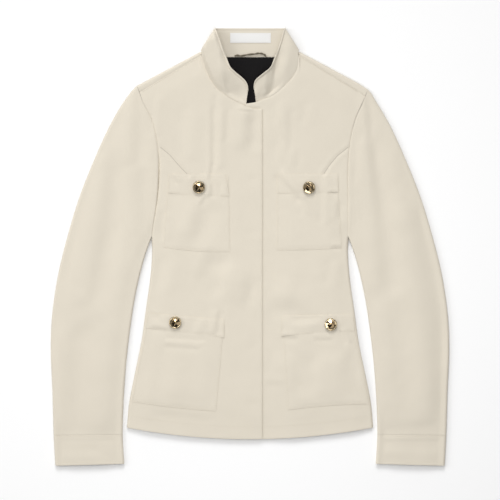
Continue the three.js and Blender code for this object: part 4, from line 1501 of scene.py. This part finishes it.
class JACKET_OT_stage(bpy.types.Operator):
    """Set the pale floor, the soft lights and the camera straight above"""
    bl_idname = "jacket.stage"
    bl_label = "Stage"

    def execute(self, context):
        stage = context.scene.jacket_stage
        bm = bmesh.new()
        bmesh.ops.create_grid(bm, x_segments=1, y_segments=1, size=6)
        floor = new_object(bm, "floor")
        floor.location.z = -0.05 * MM
        material, _, shader = new_material("Pale floor")
        shader.inputs["Base Color"].default_value = (*stage.floor_colour, 1)
        shader.inputs["Roughness"].default_value = 0.9
        floor.data.materials.append(material)

        world = bpy.data.worlds.new("Studio")
        world.use_nodes = True
        background = world.node_tree.nodes["Background"]
        background.inputs["Color"].default_value = (1, 1, 1, 1)
        background.inputs["Strength"].default_value = stage.fill
        context.scene.world = world
        self.light(context, "key", (-0.6, 5.4, 4.1), 3.2, stage.key)
        self.light(context, "left", (-3.2, 0.6, 2.4), 2.2, stage.key * 0.1745)
        self.light(context, "above", (0, -0.12, 1.1), 0.5, stage.key * 0.0128)

        camera = bpy.data.cameras.new("Camera")
        camera.sensor_width = 36
        height_m, frame_m = 6.0, 0.8
        camera.lens = camera.sensor_width * height_m / frame_m
        camera.clip_end = 50
        eye = bpy.data.objects.new("Camera", camera)
        eye.location = (0, -4.8 * MM, height_m)
        context.collection.objects.link(eye)
        context.scene.camera = eye
        context.scene.view_settings.view_transform = "Standard"
        return {"FINISHED"}

    def light(self, context, name, place, size, power):
        """A round light at a place in metres, facing the jacket's middle."""
        lamp = bpy.data.lights.new(name, "AREA")
        lamp.shape = "DISK"
        lamp.size = size
        lamp.energy = power
        lamp_object = bpy.data.objects.new(name, lamp)
        lamp_object.location = place
        lamp_object.rotation_euler = (-Vector(place)).to_track_quat("-Z", "Y").to_euler()
        context.collection.objects.link(lamp_object)


def colour_setting(name, description, default):
    return bpy.props.FloatVectorProperty(name=name, description=description, default=default,
                                         subtype="COLOR", min=0, max=1)


def length_setting(name, description, default, low, high):
    return bpy.props.FloatProperty(name=name, description=description, default=default, min=low, max=high,
                                   subtype="DISTANCE", precision=4)


class JacketSettings(bpy.types.PropertyGroup):
    wall_m: length_setting("Cloth wall", "Thickness of the lined cloth", 0.0016, 0.0008, 0.004)
    loft_m: length_setting("Loft", "Height of the upper cloth above the surface", 0.0078, 0.004, 0.02)
    crease: bpy.props.FloatProperty(name="Creases", description="Strength of the creases",
                                    default=1.15, min=0, max=2, subtype="FACTOR")
    stitch_m: length_setting("Stitch", "Length of a stitch with its gap", 0.003, 0.0015, 0.006)
    cloth_colour: colour_setting("Cloth", "Colour of the twill", (0.71, 0.652, 0.548))
    lining_colour: colour_setting("Lining", "Colour of the lining", (0.008, 0.0072, 0.0075))
    label_colour: colour_setting("Label", "Colour of the neck label", (0.82, 0.815, 0.80))
    cord_colour: colour_setting("Cord", "Colour of the hanger loop", (0.15, 0.125, 0.085))
    brass_colour: colour_setting("Buttons", "Colour of the metal", (0.64, 0.47, 0.27))
    rim_colour: colour_setting("Rims", "Colour of the buttons' rims", (0.78, 0.64, 0.42))
    # Scale of the noise behind the buttons' painted reflection.
    reflection_scale: bpy.props.FloatProperty(name="Painted reflection", default=1.15, min=0.1, max=20,
                                        description="How much the metal's tone changes from facet to facet")


class StageSettings(bpy.types.PropertyGroup):
    floor_colour: colour_setting("Floor", "Colour of the floor", (0.96, 0.96, 0.96))
    key: bpy.props.FloatProperty(name="Key light", description="Power of the main soft light",
                                 default=234, min=0, soft_max=600, subtype="POWER")
    fill: bpy.props.FloatProperty(name="Fill", description="Brightness of the surroundings",
                                  default=0.42, min=0, max=5)


class JACKET_PT_panel(bpy.types.Panel):
    bl_label = "Field jacket"
    bl_idname = "JACKET_PT_panel"
    bl_space_type = "VIEW_3D"
    bl_region_type = "UI"
    bl_category = "Jacket"

    def draw(self, context):
        layout = self.layout
        for group in (context.scene.jacket, context.scene.jacket_stage):
            for name in group.bl_rna.properties.keys():
                if name not in {"rna_type", "name"}:
                    layout.prop(group, name)
        for operator in OPERATORS:
            layout.operator(operator.bl_idname)


OPERATORS = (
    JACKET_OT_stage, JACKET_OT_back, JACKET_OT_fronts, JACKET_OT_sleeves, JACKET_OT_cuffs, JACKET_OT_collar,
    JACKET_OT_pockets, JACKET_OT_flaps, JACKET_OT_body_stitches, JACKET_OT_neck_inside, JACKET_OT_buttons,
)
CLASSES = (JacketSettings, StageSettings, *OPERATORS, JACKET_PT_panel)


def register():
    for cls in CLASSES:
        bpy.utils.register_class(cls)
    bpy.types.Scene.jacket = bpy.props.PointerProperty(type=JacketSettings)
    bpy.types.Scene.jacket_stage = bpy.props.PointerProperty(type=StageSettings)


def unregister():
    del bpy.types.Scene.jacket_stage
    del bpy.types.Scene.jacket
    for cls in reversed(CLASSES):
        bpy.utils.unregister_class(cls)


def main():
    register()
    for operator in OPERATORS:
        group, name = operator.bl_idname.split(".")
        getattr(getattr(bpy.ops, group), name)()


if __name__ == "__main__":
    main()
